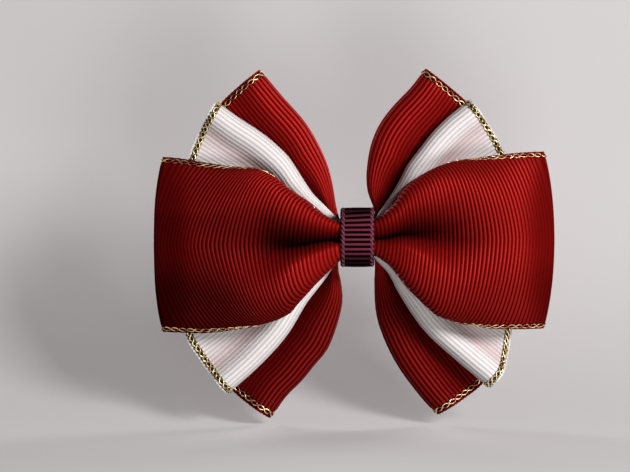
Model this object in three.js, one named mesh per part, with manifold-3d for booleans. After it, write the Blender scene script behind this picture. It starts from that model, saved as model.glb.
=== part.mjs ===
// Layered hair bow on a spring hair clip: a front loop over two pairs of petal fans, bound by a
// centre wrap that also holds the clip's base jaw.
// Millimetres. +X along the bow's width (wearer's view: right), +Y towards the hair, +Z up.
// Origin: middle of the flat rear face of the centre wrap, which lies against the hair.
import * as THREE from 'three';
import { mergeVertices } from 'three/addons/utils/BufferGeometryUtils.js';
import Module from 'manifold-3d';

const { clamp, lerp, smoothstep } = THREE.MathUtils;
const ease = (t) => smoothstep(t, 0, 1);
const vector = (x, y, z) => new THREE.Vector3(x, y, z);

// ---------------------------------------------------------------- driving dimensions
const RIBBON_THICKNESS = 0.5;
const WRAP_WIDTH = 7.5;
const GOLD_THICKNESS = 0.3;   // chain along each selvage
const GOLD_GAP = 0.12;        // between ribbon and chain

const BASE_WIDTH = 8;         // base jaw of the clip
const BASE_X = [-28.5, 28.5];
const BASE_Y = [-1.6, -0.8];
const BASE_EAR_THICKNESS = 0.65;
const LEVER_WIDTH = 6.4;      // moving jaw
const LEVER_X = [-28, 30.8];
const LEVER_THICKNESS = 0.8;
const LEVER_EAR_OUTER_Z = 3.05;
const LEVER_FLANGE_THICKNESS = 0.6;   // its ears and its rows of teeth
const PIN_X = 14;             // hinge axis, parallel to Z
const PIN_Y = 1.6;
const PIN_RADIUS = 0.75;
const PIN_HOLE_RADIUS = 0.95;

// ---------------------------------------------------------------- materials
function material(name, settings) {
  const made = new THREE.MeshStandardMaterial(settings);
  made.name = name;
  return made;
}
const RED = material('red_grosgrain', { color: 0x9d1a16, roughness: 0.72, metalness: 0 });
const WHITE = material('white_grosgrain', { color: 0xefe9e8, roughness: 0.75, metalness: 0 });
const BURGUNDY = material('burgundy_grosgrain', { color: 0x4a1424, roughness: 0.7, metalness: 0 });
const GOLD = material('gold_lurex', { color: 0xd8b765, roughness: 0.32, metalness: 0.9 });
const STEEL = material('nickel_steel', { color: 0xb9bcc0, roughness: 0.25, metalness: 1 });
const SPRING = material('spring_steel', { color: 0x8f9296, roughness: 0.3, metalness: 1 });
const THREAD = material('sewing_thread', { color: 0x7a1a1c, roughness: 0.8, metalness: 0 });
const GLUE = material('hot_melt_glue', { color: 0xe9e4d8, roughness: 0.35, metalness: 0 });

// ---------------------------------------------------------------- curves
// monotone cubic through stations of [position, value], held constant beyond both ends
function monotone(stations) {
  const last = stations.length - 1;
  const xs = stations.map((station) => station[0]);
  const ys = stations.map((station) => station[1]);
  const slopes = [];
  for (let i = 0; i < last; i++) slopes.push((ys[i + 1] - ys[i]) / (xs[i + 1] - xs[i]));
  const tangents = xs.map((_, i) => {
    if (i === 0) return slopes[0];
    if (i === last) return slopes[last - 1];
    const [before, after] = [slopes[i - 1], slopes[i]];
    return before * after <= 0 ? 0 : (2 * before * after) / (before + after);
  });
  return (x) => {
    if (x <= xs[0]) return ys[0];
    if (x >= xs[last]) return ys[last];
    let i = 0;
    while (x > xs[i + 1]) i++;
    const span = xs[i + 1] - xs[i];
    const t = (x - xs[i]) / span;
    const rest = 1 - t;
    return ys[i] * (1 + 2 * t) * rest * rest + tangents[i] * span * t * rest * rest
      + ys[i + 1] * t * t * (3 - 2 * t) - tangents[i + 1] * span * t * t * rest;
  };
}

const centripetal = (points) => new THREE.CatmullRomCurve3(points, false, 'centripetal');

// curve in the XZ plane through [x, z] points, read by fraction of its length
function planCurve(points) {
  const path = centripetal(points.map(([x, z]) => vector(x, 0, z)));
  path.arcLengthDivisions = 400;
  return { at: (t) => path.getPointAt(clamp(t, 0, 1)), length: path.getLength() };
}

// count values from start, stopping one step short of end
const steps = (start, end, count) =>
  Array.from({ length: count }, (_, i) => lerp(start, end, i / count));

// ---------------------------------------------------------------- solids from sheets
// A sheet is a grid points[i][j] with its normals: i runs round the closed ribbon, j across it.
function makeSheet(points) {
  const rings = points.length;
  const lastRow = points[0].length - 1;
  const normals = points.map((ring, i) => ring.map((_, j) => {
    const round = points[(i + 1) % rings][j].clone().sub(points[(i + rings - 1) % rings][j]);
    const across = ring[Math.min(j + 1, lastRow)].clone().sub(ring[Math.max(j - 1, 0)]);
    return round.cross(across).normalize();
  }));
  return { points, normals };
}

// closed band between two offsets from the sheet along its normals
function band({ points, normals }, ...offsets) {
  const rings = points.length;
  const rows = points[0].length;
  const vertices = offsets.flatMap((offset) => points.flatMap((ring, i) =>
    ring.map((point, j) => point.clone().addScaledVector(normals[i][j], offset))));
  const index = [];
  const at = (layer, i, j) => (layer * rings + (i % rings)) * rows + j;
  const quad = (a, b, c, d) => index.push(a, b, c, a, c, d);
  const end = rows - 1;
  for (let i = 0; i < rings; i++) {
    for (let j = 0; j < end; j++) {
      quad(at(1, i, j), at(1, i + 1, j), at(1, i + 1, j + 1), at(1, i, j + 1));
      quad(at(0, i, j), at(0, i, j + 1), at(0, i + 1, j + 1), at(0, i + 1, j));
    }
    quad(at(0, i, 0), at(0, i + 1, 0), at(1, i + 1, 0), at(1, i, 0));
    quad(at(0, i, end), at(1, i, end), at(1, i + 1, end), at(0, i + 1, end));
  }
  faceOutward(vertices, index);
  const geometry = new THREE.BufferGeometry().setFromPoints(vertices);
  geometry.setIndex(index);
  return geometry;
}

// flips every triangle of a closed set whose volume is negative
function faceOutward(vertices, index) {
  let volume = 0;
  for (let k = 0; k < index.length; k += 3) {
    const [a, b, c] = index.slice(k, k + 3).map((i) => vertices[i]);
    volume += a.dot(b.clone().cross(c));
  }
  if (volume >= 0) return;
  for (let k = 0; k < index.length; k += 3) {
    [index[k + 1], index[k + 2]] = [index[k + 2], index[k + 1]];
  }
}

const ribbon = (sheet) => band(sheet, -RIBBON_THICKNESS / 2, RIBBON_THICKNESS / 2);

// +1 or -1: which way the normals point away from a place inside the closed ribbon
function outwardSign({ points, normals }, ring, inside) {
  const middle = points[0].length >> 1;
  return Math.sign(points[ring][middle].clone().sub(inside).dot(normals[ring][middle]));
}

// chain on the outer face, over the outermost strip of the grid that starts at this row
function goldStrip({ points, normals }, row, sign) {
  const strip = (grid) => grid.map((ring) => ring.slice(row, row + 2));
  const lift = sign * (RIBBON_THICKNESS / 2 + GOLD_GAP);
  const sheet = { points: strip(points), normals: strip(normals) };
  return band(sheet, lift, lift + sign * GOLD_THICKNESS);
}

// ---------------------------------------------------------------- front loop
const LOOP_STEPS = { front: 11, fold: 5, back: 8 };
const LOOP_ROWS = [-1, -0.87, -0.6, -0.36, -0.15, 0, 0.15, 0.36, 0.6, 0.87, 1]; // bottom to top
const FOLD_START = 0.45;      // fractions of the way from the knot's front round to its back
const BACK_START = 0.6;
const FOLD_REACH = 5.6;       // the end fold's length along X
const DEPTH_END = 40;         // station of the depth tables that falls where the fold begins

// Outline of each side, stations of [distance from the middle, height]; end: tip of the loop
const LOOP = {
  left: {
    sign: -1,
    end: 46.0,
    top: monotone([
      [0, 3.1], [4.2, 3.5], [9.3, 5.9], [12.7, 8.4], [18, 11.7], [20.8, 13.7], [26, 15.5],
      [32.2, 16.4], [38.1, 17.3], [43.9, 18.2], [47, 18.4],
    ]),
    bottom: monotone([
      [0, -3.5], [3.7, -4.1], [4.8, -5.0], [7.3, -7.2], [12.7, -11.9], [15.8, -14.9],
      [17.4, -16.6], [23.7, -19.0], [27.3, -19.8], [32.7, -20.8], [38.1, -21.3],
      [43.7, -21.2], [47, -21.1],
    ]),
    crease: monotone([[0, -0.2], [5, -0.4], [15, -1.8], [25, -1.5], [47, -1.4]]),
  },
  right: {
    sign: 1,
    end: 44.4,
    top: monotone([
      [0, 3.4], [3.9, 4.0], [8.6, 7.2], [12.2, 11.6], [17, 14.8], [21.9, 16.7], [26.8, 17.8],
      [33.4, 18.8], [42.1, 19.5], [46, 19.6],
    ]),
    bottom: monotone([
      [0, -3.3], [3.9, -3.6], [7.8, -5.6], [12.2, -10.0], [17, -14.8], [20.1, -17.2],
      [26.8, -19.0], [33.4, -20.1], [41.9, -20.4], [46, -20.4],
    ]),
    crease: monotone([[0, -0.3], [5, -0.3], [11, 0.7], [25, 0.4], [46, -0.3]]),
  },
};

// [station scaled so that the fold begins at DEPTH_END, Y of the layer]
const FRONT_Y = monotone([
  [0, -14.1], [4, -15.0], [8, -16.9], [14, -18.6], [20, -19.2], [28, -19.0], [36, -17.9],
  [40, -16.9],
]);
const BACK_Y = monotone([[0, -9.9], [4, -10.2], [9, -11.1], [20, -11.6], [30, -11.2], [40, -10.2]]);

// [distance from the middle, value]
const PLEAT_DEPTH = monotone([
  [0, 2.6], [4, 3.4], [9, 4.2], [14, 3.9], [20, 2.6], [26, 1.6], [34, 0.9], [42, 0.5], [47, 0.4],
]);
// half-width of the crease, as a fraction of the half ribbon
const CREASE_WIDTH = monotone([[0, 0.2], [8, 0.22], [16, 0.3], [30, 0.5], [47, 0.7]]);
// how far the selvages lie back, as a fraction of the pleat depth
const EDGE_SETBACK = monotone([[0, 1.0], [12, 0.95], [20, 0.8], [30, 0.7], [47, 0.6]]);
// how round the section is: 0 flat, 1 a sine
const ROUNDING = monotone([[0, 1], [14, 0.9], [22, 0.45], [30, 0.2], [47, 0]]);
// how far the selvages are drawn in towards the knot
const DRAW_IN = monotone([[0, 0.6], [8, 1.6], [16, 3.0], [28, 2.9], [47, 2.2]]);

// shares of the front layer's values
const BACK_HEIGHT = 0.93;
const BACK_ROUNDING = 0.35;
const FOLD_PLEAT = 0.3;
const BACK_PLEAT = -0.08;     // negative: the back layer's pleat turns the other way

// distance from the middle, Y and layer (face: 1 front, 0 back) at a fraction along a side
function loopStation(side, along) {
  const foldX = side.end - FOLD_REACH;
  if (along < FOLD_START) {
    const x = (along / FOLD_START) * foldX;
    return { x, y: FRONT_Y(x * DEPTH_END / foldX), face: 1 };
  }
  if (along < BACK_START) {
    const angle = Math.PI * (along - FOLD_START) / (BACK_START - FOLD_START);
    const frontY = FRONT_Y(DEPTH_END);
    const backY = BACK_Y(DEPTH_END);
    return {
      x: foldX + Math.sin(angle) * FOLD_REACH,
      y: (frontY + backY) / 2 - Math.cos(angle) * (backY - frontY) / 2,
      face: 0.5 + 0.5 * Math.cos(angle),
    };
  }
  const x = (1 - (along - BACK_START) / (1 - BACK_START)) * foldX;
  return { x, y: BACK_Y(x * DEPTH_END / foldX), face: 0 };
}

// across: -1 at the bottom selvage, 1 at the top
function loopPoint(side, along, across) {
  const { x, y, face } = loopStation(side, along);
  const edge = Math.abs(across);

  const creaseZ = side.crease(x);
  const selvageZ = across >= 0 ? side.top(x) : side.bottom(x);
  const rounding = ROUNDING(x) * lerp(BACK_ROUNDING, 1, face);
  const spread = lerp(edge, Math.sin(edge * Math.PI / 2), rounding);
  // the back layer's narrowing fades away from the knot
  const height = lerp(1, lerp(BACK_HEIGHT, 1, face), clamp(1.4 - x / 30, 0, 1));

  const crease = Math.exp(-((across / CREASE_WIDTH(x)) ** 2));
  const creaseFade = clamp(1.25 - x / 38, 0.1, 1);
  const setback = crease * creaseFade + EDGE_SETBACK(x) * ease((edge - 0.45) / 0.55);
  const pleat = face > 0.5
    ? lerp(FOLD_PLEAT, 1, face * 2 - 1)
    : lerp(BACK_PLEAT, FOLD_PLEAT, face * 2);

  const drawIn = DRAW_IN(x) * edge ** 1.8 * ease(x / 6);
  return vector(
    side.sign * Math.max(0, x - drawIn),
    y + PLEAT_DEPTH(x) * pleat * setback,
    creaseZ + (selvageZ - creaseZ) * spread * height,
  );
}

function frontLoopSheet() {
  const ring = (side, along) => LOOP_ROWS.map((across) => loopPoint(side, along, across));
  // the two sides share one averaged ring at X = 0
  const meeting = (along) => {
    const left = ring(LOOP.left, along);
    return ring(LOOP.right, along).map(({ y, z }, j) =>
      vector(0, (y + left[j].y) / 2, (z + left[j].z) / 2));
  };
  const stations = [
    ...steps(0, FOLD_START, LOOP_STEPS.front),
    ...steps(FOLD_START, BACK_START, LOOP_STEPS.fold),
    ...steps(BACK_START, 1, LOOP_STEPS.back),
  ].slice(1);
  return makeSheet([
    meeting(0),
    ...stations.map((along) => ring(LOOP.right, along)),
    meeting(1),
    ...stations.reverse().map((along) => ring(LOOP.left, along)),
  ]);
}

// ---------------------------------------------------------------- petal fans
// Each fan is one ribbon closed into a flattened tube. Its inner selvage is gathered at the knot
// and its outer selvage is open.
const FAN_ROWS = [0, 0.06, 0.095, 0.18, 0.32, 0.52, 0.75, 0.94, 1];  // knot to outer selvage
const FAN_EDGE_LENGTHS = [0, 0.9, 2.2, 3.9, 5.6, 7.4];   // grid stations from a fold edge
const FAN_FRONT_SPANS = 6;    // between the two rolls
const FAN_BACK_EDGES = [0.012, 0.04];
const FAN_BACK_SPANS = 6;

// What both fans of a colour share.
// fullChord: distance between the folds at which the roll has its full size
// baseY: [fraction from the knot outwards, Y of the fold edges]
// roll: section of the rounded fold, [length along the ribbon, inwards from the edge, forwards]
// bulge: how far the middle of the front layer stands forward
const RED_FAN = {
  material: RED,
  fullChord: 45,
  bulge: 0.15,
  baseY: monotone([[0, -3.9], [0.3, -4.1], [1, -4.4]]),
  roll: [
    [0, 0, 0], [1.05, 0.25, 1.0], [2.3, 1.1, 1.9], [3.9, 2.6, 2.4], [5.6, 4.2, 2.2],
    [7.5, 6.0, 1.5], [9.7, 8.0, 0.7], [11.3, 9.6, 0.25], [12.8, 11.1, 0.05],
  ],
};
const WHITE_FAN = {
  material: WHITE,
  fullChord: 32,
  bulge: 0.7,
  baseY: monotone([[0, -6.7], [0.3, -7.2], [0.6, -7.7], [1, -7.9]]),
  roll: [
    [0, 0, 0], [1.13, 0.25, 1.1], [2.5, 1.1, 2.15], [3.9, 2.4, 2.7], [5.2, 3.7, 2.5],
    [6.6, 4.9, 1.7], [7.9, 5.8, 0.8], [8.9, 6.7, 0.25], [10.4, 8.2, 0.05],
  ],
};

// Outlines as [x, z]. upper, lower: the fold edges from the knot outwards;
// outer: the outer selvage, downwards between the outer ends of upper and lower.
const FANS = {
  red_fan_left: {
    ...RED_FAN,
    side: -1,
    upper: [
      [-0.7, 2.7], [-3.0, 3.1], [-3.95, 3.8], [-4.9, 7.0], [-6.04, 13.09], [-7.41, 17.65],
      [-11.52, 25.41], [-17.22, 32.02], [-22.3, 38.1],
    ],
    lower: [
      [-0.7, -2.7], [-3.0, -3.1], [-3.95, -3.8], [-4.5, -6.9], [-3.9, -10], [-3.54, -14.28],
      [-4.45, -18.84], [-6.96, -25.46], [-9.92, -29.11], [-12.89, -32.76], [-16.08, -35.9],
      [-19.9, -41.2],
    ],
    outer: [
      [-27, 34.3], [-31.4, 30.0], [-34.2, 24.6], [-37.2, 17], [-40.2, 8], [-41.2, 0],
      [-40.4, -10], [-37.5, -20], [-33.5, -28.6], [-28.6, -34.8], [-24.4, -38.2],
    ],
  },
  red_fan_right: {
    ...RED_FAN,
    side: 1,
    upper: [
      [0.7, 2.7], [3.0, 3.1], [3.95, 3.8], [4.2, 6.2], [3.6, 7.9], [2.7, 10.4], [2.39, 14.0],
      [3.31, 20.85], [5.13, 25.41], [8.1, 29.51], [12.43, 34.07], [15.7, 38.4],
    ],
    lower: [
      [0.7, -2.7], [3.0, -3.1], [3.95, -3.8], [4.3, -7.0], [4.2, -9.8], [4.68, -17.7],
      [6.5, -23.4], [9.69, -29.56], [15.17, -36.86], [18.5, -40.4],
    ],
    outer: [
      [20.6, 34.6], [25.2, 30.6], [28.1, 26.6], [31.0, 22.0], [33.4, 16.5], [36.6, 8],
      [37.6, 0], [37.2, -10], [35, -19], [32.4, -27], [28.8, -33.3], [23.7, -37.2],
    ],
  },
  white_fan_left: {
    ...WHITE_FAN,
    side: -1,
    upper: [
      [-0.7, 2.6], [-3.0, 3.0], [-4.3, 4.0], [-7.49, 7.26], [-10.1, 9.87], [-12.83, 13.94],
      [-15.69, 18.3], [-18.8, 21.38], [-22.14, 24.04], [-26.9, 27.13], [-32.1, 30.9],
    ],
    lower: [
      [-0.7, -2.7], [-3.0, -3.3], [-4.4, -4.9], [-7.38, -9.33], [-11.47, -14.6],
      [-16.01, -22.05], [-22.14, -28.86], [-29.5, -35.4],
    ],
    outer: [
      [-34.62, 26.31], [-36.67, 22.22], [-38.48, 17.46], [-40.8, 9], [-41.5, 0],
      [-40.8, -11], [-38.94, -22.39], [-35.98, -27.27], [-33.03, -31.35],
    ],
  },
  white_fan_right: {
    ...WHITE_FAN,
    side: 1,
    upper: [
      [0.7, 2.6], [3.0, 3.0], [4.1, 4.2], [5.45, 6.24], [7.54, 9.19], [9.79, 13.01],
      [11.53, 16.48], [14.12, 19.95], [17.14, 23.81], [20.55, 27.22], [25.7, 31.3],
    ],
    lower: [
      [0.7, -2.7], [3.0, -3.3], [4.2, -4.8], [7.15, -7.9], [9.65, -12.6], [15.32, -20.91],
      [22.14, -27.27], [30.2, -34.0],
    ],
    outer: [
      [28.95, 27.22], [31.67, 22.91], [33.71, 18.82], [36.8, 10], [37.9, 0], [37.4, -10],
      [35.2, -20.91], [34.5, -26], [33.2, -30.6],
    ],
  },
};

// Here down is the fraction from the upper fold to the lower, out the fraction from the knot.
function fanSheet(fan) {
  const upper = planCurve(fan.upper);
  const lower = planCurve(fan.lower);
  const outer = planCurve([fan.upper.at(-1), ...fan.outer, fan.lower.at(-1)]);
  const knot = (down) => upper.at(0).lerp(lower.at(0), down);

  const rollInwards = monotone(fan.roll.map(([length, inwards]) => [length, inwards]));
  const rollForwards = monotone(fan.roll.map(([length, , forwards]) => [length, forwards]));
  const [rollLength, rollReach, rollEndForwards] = fan.roll.at(-1);

  const chord = (out) => upper.at(out).distanceTo(lower.at(out));
  const stretch = outer.length / chord(1);
  const width = (out) => chord(out) * lerp(1, stretch, out * out);
  const scale = (out) => Math.min(1, chord(out) / fan.fullChord);
  const frontLength = outer.length + 2 * (rollLength - rollReach);

  // Coons patch between the two folds, the knot and the outer selvage, at the given Y
  const patch = (down, out, y) => {
    const up = 1 - down;
    const inn = 1 - out;
    return vector(0, y, 0)
      .addScaledVector(upper.at(out), up)
      .addScaledVector(lower.at(out), down)
      .addScaledVector(knot(down), inn)
      .addScaledVector(outer.at(down), out)
      .addScaledVector(knot(0), -up * inn)
      .addScaledVector(knot(1), -down * inn)
      .addScaledVector(outer.at(0), -up * out)
      .addScaledVector(outer.at(1), -down * out);
  };

  // length: along the front layer from the upper fold (0) to the lower fold (frontLength)
  const frontPoint = (length, out) => {
    const size = scale(out);
    const total = width(out);
    const half = frontLength / 2;
    const fromEdge = Math.min(length, frontLength - length);
    let inwards = rollInwards(fromEdge) * size;
    let forwards = rollForwards(fromEdge) * size;
    if (fromEdge >= rollLength) {
      const flat = (fromEdge - rollLength) / (half - rollLength);
      inwards = lerp(rollReach * size, total / 2, flat);
      forwards = rollEndForwards * size;
    }
    const middle = ease((fromEdge - rollLength * 0.8) / (half - rollLength * 0.8));
    const swell = Math.sin(Math.PI * Math.min(1, 0.25 + out * 0.75)) + 0.3;
    // the layer leaves the fold edge over 0.8 mm to stand 0.5 mm forward
    forwards += 0.5 * (1 - Math.exp(-fromEdge / 0.8)) + fan.bulge * middle * swell;
    const fraction = inwards / total;
    const down = length > half ? 1 - fraction : fraction;
    return patch(down, out, fan.baseY(out) - forwards);
  };

  // up: fraction along the back layer from the lower fold (0) to the upper fold (1)
  const backPoint = (up, out) => {
    const fromEdge = Math.min(up, 1 - up) * width(out);
    const backwards = (0.45 + 0.45 * scale(out)) * (1 - Math.exp(-fromEdge / 0.7));
    return patch(1 - up, out, fan.baseY(out) + backwards);
  };

  const edges = [...FAN_EDGE_LENGTHS, rollLength];
  const frontStations = [
    ...edges,
    ...steps(rollLength, frontLength - rollLength, FAN_FRONT_SPANS).slice(1),
    ...edges.toReversed().map((length) => frontLength - length),
  ];
  const [edge, nearEdge] = FAN_BACK_EDGES;
  const backStations = [
    edge,
    ...steps(nearEdge, 1 - nearEdge, FAN_BACK_SPANS),
    1 - nearEdge,
    1 - edge,
  ];
  return makeSheet([
    ...frontStations.map((length) => FAN_ROWS.map((out) => frontPoint(length, out))),
    ...backStations.map((up) => FAN_ROWS.map((out) => backPoint(up, out))),
  ]);
}

// ---------------------------------------------------------------- profiles and booleans
const wasm = await Module();
wasm.setup();

function toSolid(geometry) {
  geometry.deleteAttribute('normal');
  geometry.deleteAttribute('uv');
  const welded = mergeVertices(geometry, 1e-4);
  return new wasm.Manifold(new wasm.Mesh({
    numProp: 3,
    vertProperties: new Float32Array(welded.attributes.position.array),
    triVerts: new Uint32Array(welded.index.array),
  }));
}

function fromSolid(solid) {
  const { vertProperties, triVerts } = solid.getMesh();
  const geometry = new THREE.BufferGeometry();
  geometry.setAttribute('position', new THREE.BufferAttribute(new Float32Array(vertProperties), 3));
  geometry.setIndex(new THREE.BufferAttribute(new Uint32Array(triVerts), 1));
  return geometry;
}

const toVector2 = ([x, y]) => new THREE.Vector2(x, y);

// solid plate with an [x, y] outline between two heights
function plate(outline, z0, z1) {
  const shape = new THREE.Shape(outline.map(toVector2));
  const geometry = new THREE.ExtrudeGeometry(shape, { depth: z1 - z0, bevelEnabled: false });
  return toSolid(geometry.translate(0, 0, z0));
}

// adds a plate at both sides of a solid, with outer faces at -outerZ and outerZ
function addSidePlates(solid, outline, outerZ, thickness) {
  return solid
    .add(plate(outline, -outerZ, -outerZ + thickness))
    .add(plate(outline, outerZ - thickness, outerZ));
}

// outline of a sheet-metal strip that follows a centre line
function stripOutline(line, thickness) {
  const above = [];
  const below = [];
  line.forEach(([x, y], i) => {
    const [x0, y0] = line[Math.max(0, i - 1)];
    const [x1, y1] = line[Math.min(line.length - 1, i + 1)];
    const offset = thickness / 2 / Math.hypot(x1 - x0, y1 - y0);
    const dx = -(y1 - y0) * offset;
    const dy = (x1 - x0) * offset;
    above.push([x + dx, y + dy]);
    below.push([x - dx, y - dy]);
  });
  return [...below, ...above.reverse()];
}

// rectangle in (X, Z) with rounded corners, extruded towards -Y; radii: left end, right end
function roundedPlan([x0, x1], width, [radius0, radius1], options) {
  const half = width / 2;
  const quarter = Math.PI / 2;
  const left = x0 + radius0;
  const right = x1 - radius1;
  const shape = new THREE.Shape();
  shape.moveTo(left, -half);
  shape.lineTo(right, -half);
  shape.absarc(right, -half + radius1, radius1, -quarter, 0, false);
  shape.absarc(right, half - radius1, radius1, 0, quarter, false);
  shape.lineTo(left, half);
  shape.absarc(left, half - radius0, radius0, quarter, 2 * quarter, false);
  shape.absarc(left, -half + radius0, radius0, 2 * quarter, 3 * quarter, false);
  return new THREE.ExtrudeGeometry(shape, options).rotateX(quarter);
}

// trims a jaw to its plan outline
function trimPlan(solid, rangeX, width, radii) {
  const options = { depth: 60, bevelEnabled: false, curveSegments: 5 };
  const cutter = roundedPlan(rangeX, width, radii, options).translate(0, 30, 0);
  return solid.intersect(toSolid(cutter));
}

function drillPinHole(solid) {
  const hole = new THREE.CylinderGeometry(PIN_HOLE_RADIUS, PIN_HOLE_RADIUS, 12, 20);
  return solid.subtract(toSolid(hole.rotateX(Math.PI / 2).translate(PIN_X, PIN_Y, 0)));
}

// polygonal wire along a smooth curve
function wire(points, radius, segments, sides) {
  const section = Array.from({ length: sides }, (_, i) => {
    const angle = (i / sides) * Math.PI * 2;
    return new THREE.Vector2(Math.cos(angle) * radius, Math.sin(angle) * radius);
  });
  return new THREE.ExtrudeGeometry(new THREE.Shape(section), {
    steps: segments,
    bevelEnabled: false,
    extrudePath: centripetal(points.map((point) => vector(...point))),
  });
}

// ---------------------------------------------------------------- clip
// All outlines here are [x, y].
const BASE_EAR = [
  [10.4, -1.0], [17.6, -1.0], [17.2, 1.4], [16.3, 3.0], [14.9, 3.9], [13.1, 3.9], [11.7, 3.0],
  [10.8, 1.4],
];
// lever's ears, which lie inside those of the base jaw
const LEVER_EAR = [
  [10.7, 4.6], [11.3, 2.6], [12.3, 0.5], [13.4, -0.25], [14.6, -0.25], [15.7, 0.5], [16.7, 2.6],
  [17.1, 4.35], [13.5, 4.45],
];
const LEVER_LINE = [
  [-28.0, 0.75], [-26.5, 0.75], [-20.5, 1.2], [-18.0, 1.9], [-15.8, 3.2], [-13.4, 4.35],
  [-10, 4.85], [-4, 5.0], [4, 4.95], [9, 4.8], [12.5, 4.5], [16.2, 4.3], [18.4, 4.7],
  [20.5, 5.65], [28.5, 9.8], [30.6, 10.5],
];
const TEETH = { count: 6, firstX: -26.9, pitch: 1.6, tipWidth: 0.5, tipY: -0.62, rootY: 0.35 };
const TOOTH_ROOT_OFFSET = 1.05;   // from a tooth's left corner to the root on its right

function baseJaw() {
  const [x0, x1] = BASE_X;
  const [y0, y1] = BASE_Y;
  const half = BASE_WIDTH / 2;
  const blank = plate([[x0, y0], [x1, y0], [x1, y1], [x0, y1]], -half, half);
  const trimmed = trimPlan(blank, BASE_X, BASE_WIDTH, [2.6, 3.4]);
  const jaw = addSidePlates(trimmed, BASE_EAR, half, BASE_EAR_THICKNESS);
  return fromSolid(drillPinHole(jaw));
}

// row of teeth turned towards the base jaw
function teethOutline() {
  const outline = [[-27.2, 1.0]];
  for (let i = 0; i < TEETH.count; i++) {
    const x = TEETH.firstX + i * TEETH.pitch;
    outline.push([x, TEETH.tipY], [x + TEETH.tipWidth, TEETH.tipY]);
    outline.push([x + TOOTH_ROOT_OFFSET, TEETH.rootY]);
  }
  return [...outline, [-17.0, 1.6], [-17.3, 2.1], [-20.5, 1.35], [-26.5, 1.0]];
}

function leverJaw() {
  const half = LEVER_WIDTH / 2;
  let jaw = plate(stripOutline(LEVER_LINE, LEVER_THICKNESS), -half, half);
  jaw = trimPlan(jaw, LEVER_X, LEVER_WIDTH, [1.6, 2.6]);
  jaw = addSidePlates(jaw, teethOutline(), half, LEVER_FLANGE_THICKNESS);
  jaw = addSidePlates(jaw, LEVER_EAR, LEVER_EAR_OUTER_Z, LEVER_FLANGE_THICKNESS);
  return fromSolid(drillPinHole(jaw));
}

// pin with a chamfered head at each end, just outside the base jaw's ears
function hingePin() {
  const shank = BASE_WIDTH / 2 + 0.15;
  // [radius, distance from the middle]
  const end = [[PIN_RADIUS, shank], [1.3, shank], [1.3, shank + 0.3], [0.9, shank + 0.55],
    [0, shank + 0.55]];
  const mirrored = end.map(([radius, along]) => [radius, -along]).reverse();
  return new THREE.LatheGeometry([...mirrored, ...end].map(toVector2), 18)
    .rotateX(Math.PI / 2)
    .translate(PIN_X, PIN_Y, 0);
}

// leg on the base jaw, coil round the pin, leg under the lever
function torsionSpring() {
  const turns = 3.5;
  const coilRadius = 1.3;     // to the middle of the wire
  const legZ = 1.55;
  const coilZ = legZ - 0.1;
  const coilSteps = turns * 12;
  const coil = Array.from({ length: coilSteps + 1 }, (_, i) => {
    const fraction = i / coilSteps;
    const angle = -Math.PI / 2 - fraction * turns * 2 * Math.PI;
    return [
      PIN_X + coilRadius * Math.cos(angle),
      PIN_Y + coilRadius * Math.sin(angle),
      lerp(-coilZ, coilZ, fraction),
    ];
  });
  const baseLeg = [[25.5, -0.36], [22, -0.36], [18, -0.3], [15.5, 0.2]];
  const leverLeg = [[15.6, 3.1], [18, 3.75], [21.3, 5.2], [25.5, 7.4]];
  const path = [
    ...baseLeg.map(([x, y]) => [x, y, -legZ]),
    ...coil,
    ...leverLeg.map(([x, y]) => [x, y, legZ]),
  ];
  return wire(path, 0.3, 84, 6);
}

// ---------------------------------------------------------------- knot
// Outlines as [y, z]; the outer one is flat where it lies on the hair.
const WRAP_OUTER = [
  [0, -4.5], [0, -1.3], [0, 4.5], [-0.35, 4.95], [-0.95, 5.15], [-14.2, 6.95], [-15.2, 6.7],
  [-15.8, 6.0], [-15.95, 4.6], [-15.98, -4.2], [-15.8, -5.3], [-15.2, -6.0], [-14.2, -6.25],
  [-0.95, -5.15], [-0.35, -4.95],
];
const WRAP_INNER = [
  [-0.55, -4.2], [-0.55, 4.2], [-1.05, 4.6], [-14.1, 6.4], [-14.9, 6.2], [-15.3, 5.7],
  [-15.42, 4.5], [-15.42, -4.1], [-15.3, -5.1], [-14.9, -5.55], [-14.1, -5.7], [-1.05, -4.6],
];

function centreWrap() {
  const shape = new THREE.Shape(WRAP_OUTER.map(toVector2));
  shape.holes.push(new THREE.Path(WRAP_INNER.map(toVector2)));
  // shape x -> Y, shape y -> Z, depth -> X
  const turn = new THREE.Matrix4().set(
    0, 0, 1, -WRAP_WIDTH / 2,
    1, 0, 0, 0,
    0, 1, 0, 0,
    0, 0, 0, 1,
  );
  return new THREE.ExtrudeGeometry(shape, { depth: WRAP_WIDTH, bevelEnabled: false })
    .applyMatrix4(turn);
}

// thread wound round a bundle: rectangle in YZ with cut corners, turns side by side along X
function winding({ y: [y0, y1], z: [z0, z1], x, pitch, turns, radius }) {
  const corner = 0.7;
  const midY = (y0 + y1) / 2;
  const midZ = (z0 + z1) / 2;
  const turn = [
    [y0 + corner, z0], [midY, z0], [y1 - corner, z0],
    [y1, z0 + corner], [y1, midZ], [y1, z1 - corner],
    [y1 - corner, z1], [midY, z1], [y0 + corner, z1],
    [y0, z1 - corner], [y0, midZ], [y0, z0 + corner],
  ];
  const last = turns * turn.length - 3;
  const path = Array.from({ length: last + 1 }, (_, i) =>
    [x + pitch * i / turn.length, ...turn[i % turn.length]]);
  return wire(path, radius, Math.round(last * 1.6), 5);
}

const loopThread = () =>
  winding({ y: [-14.85, -8.95], z: [-4.6, 4.3], x: -0.55, pitch: 0.5, turns: 3, radius: 0.17 });
const fanThread = (x) =>
  winding({ y: [-8.55, -2.75], z: [-3.95, 3.9], x, pitch: 0.45, turns: 2, radius: 0.16 });

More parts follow.
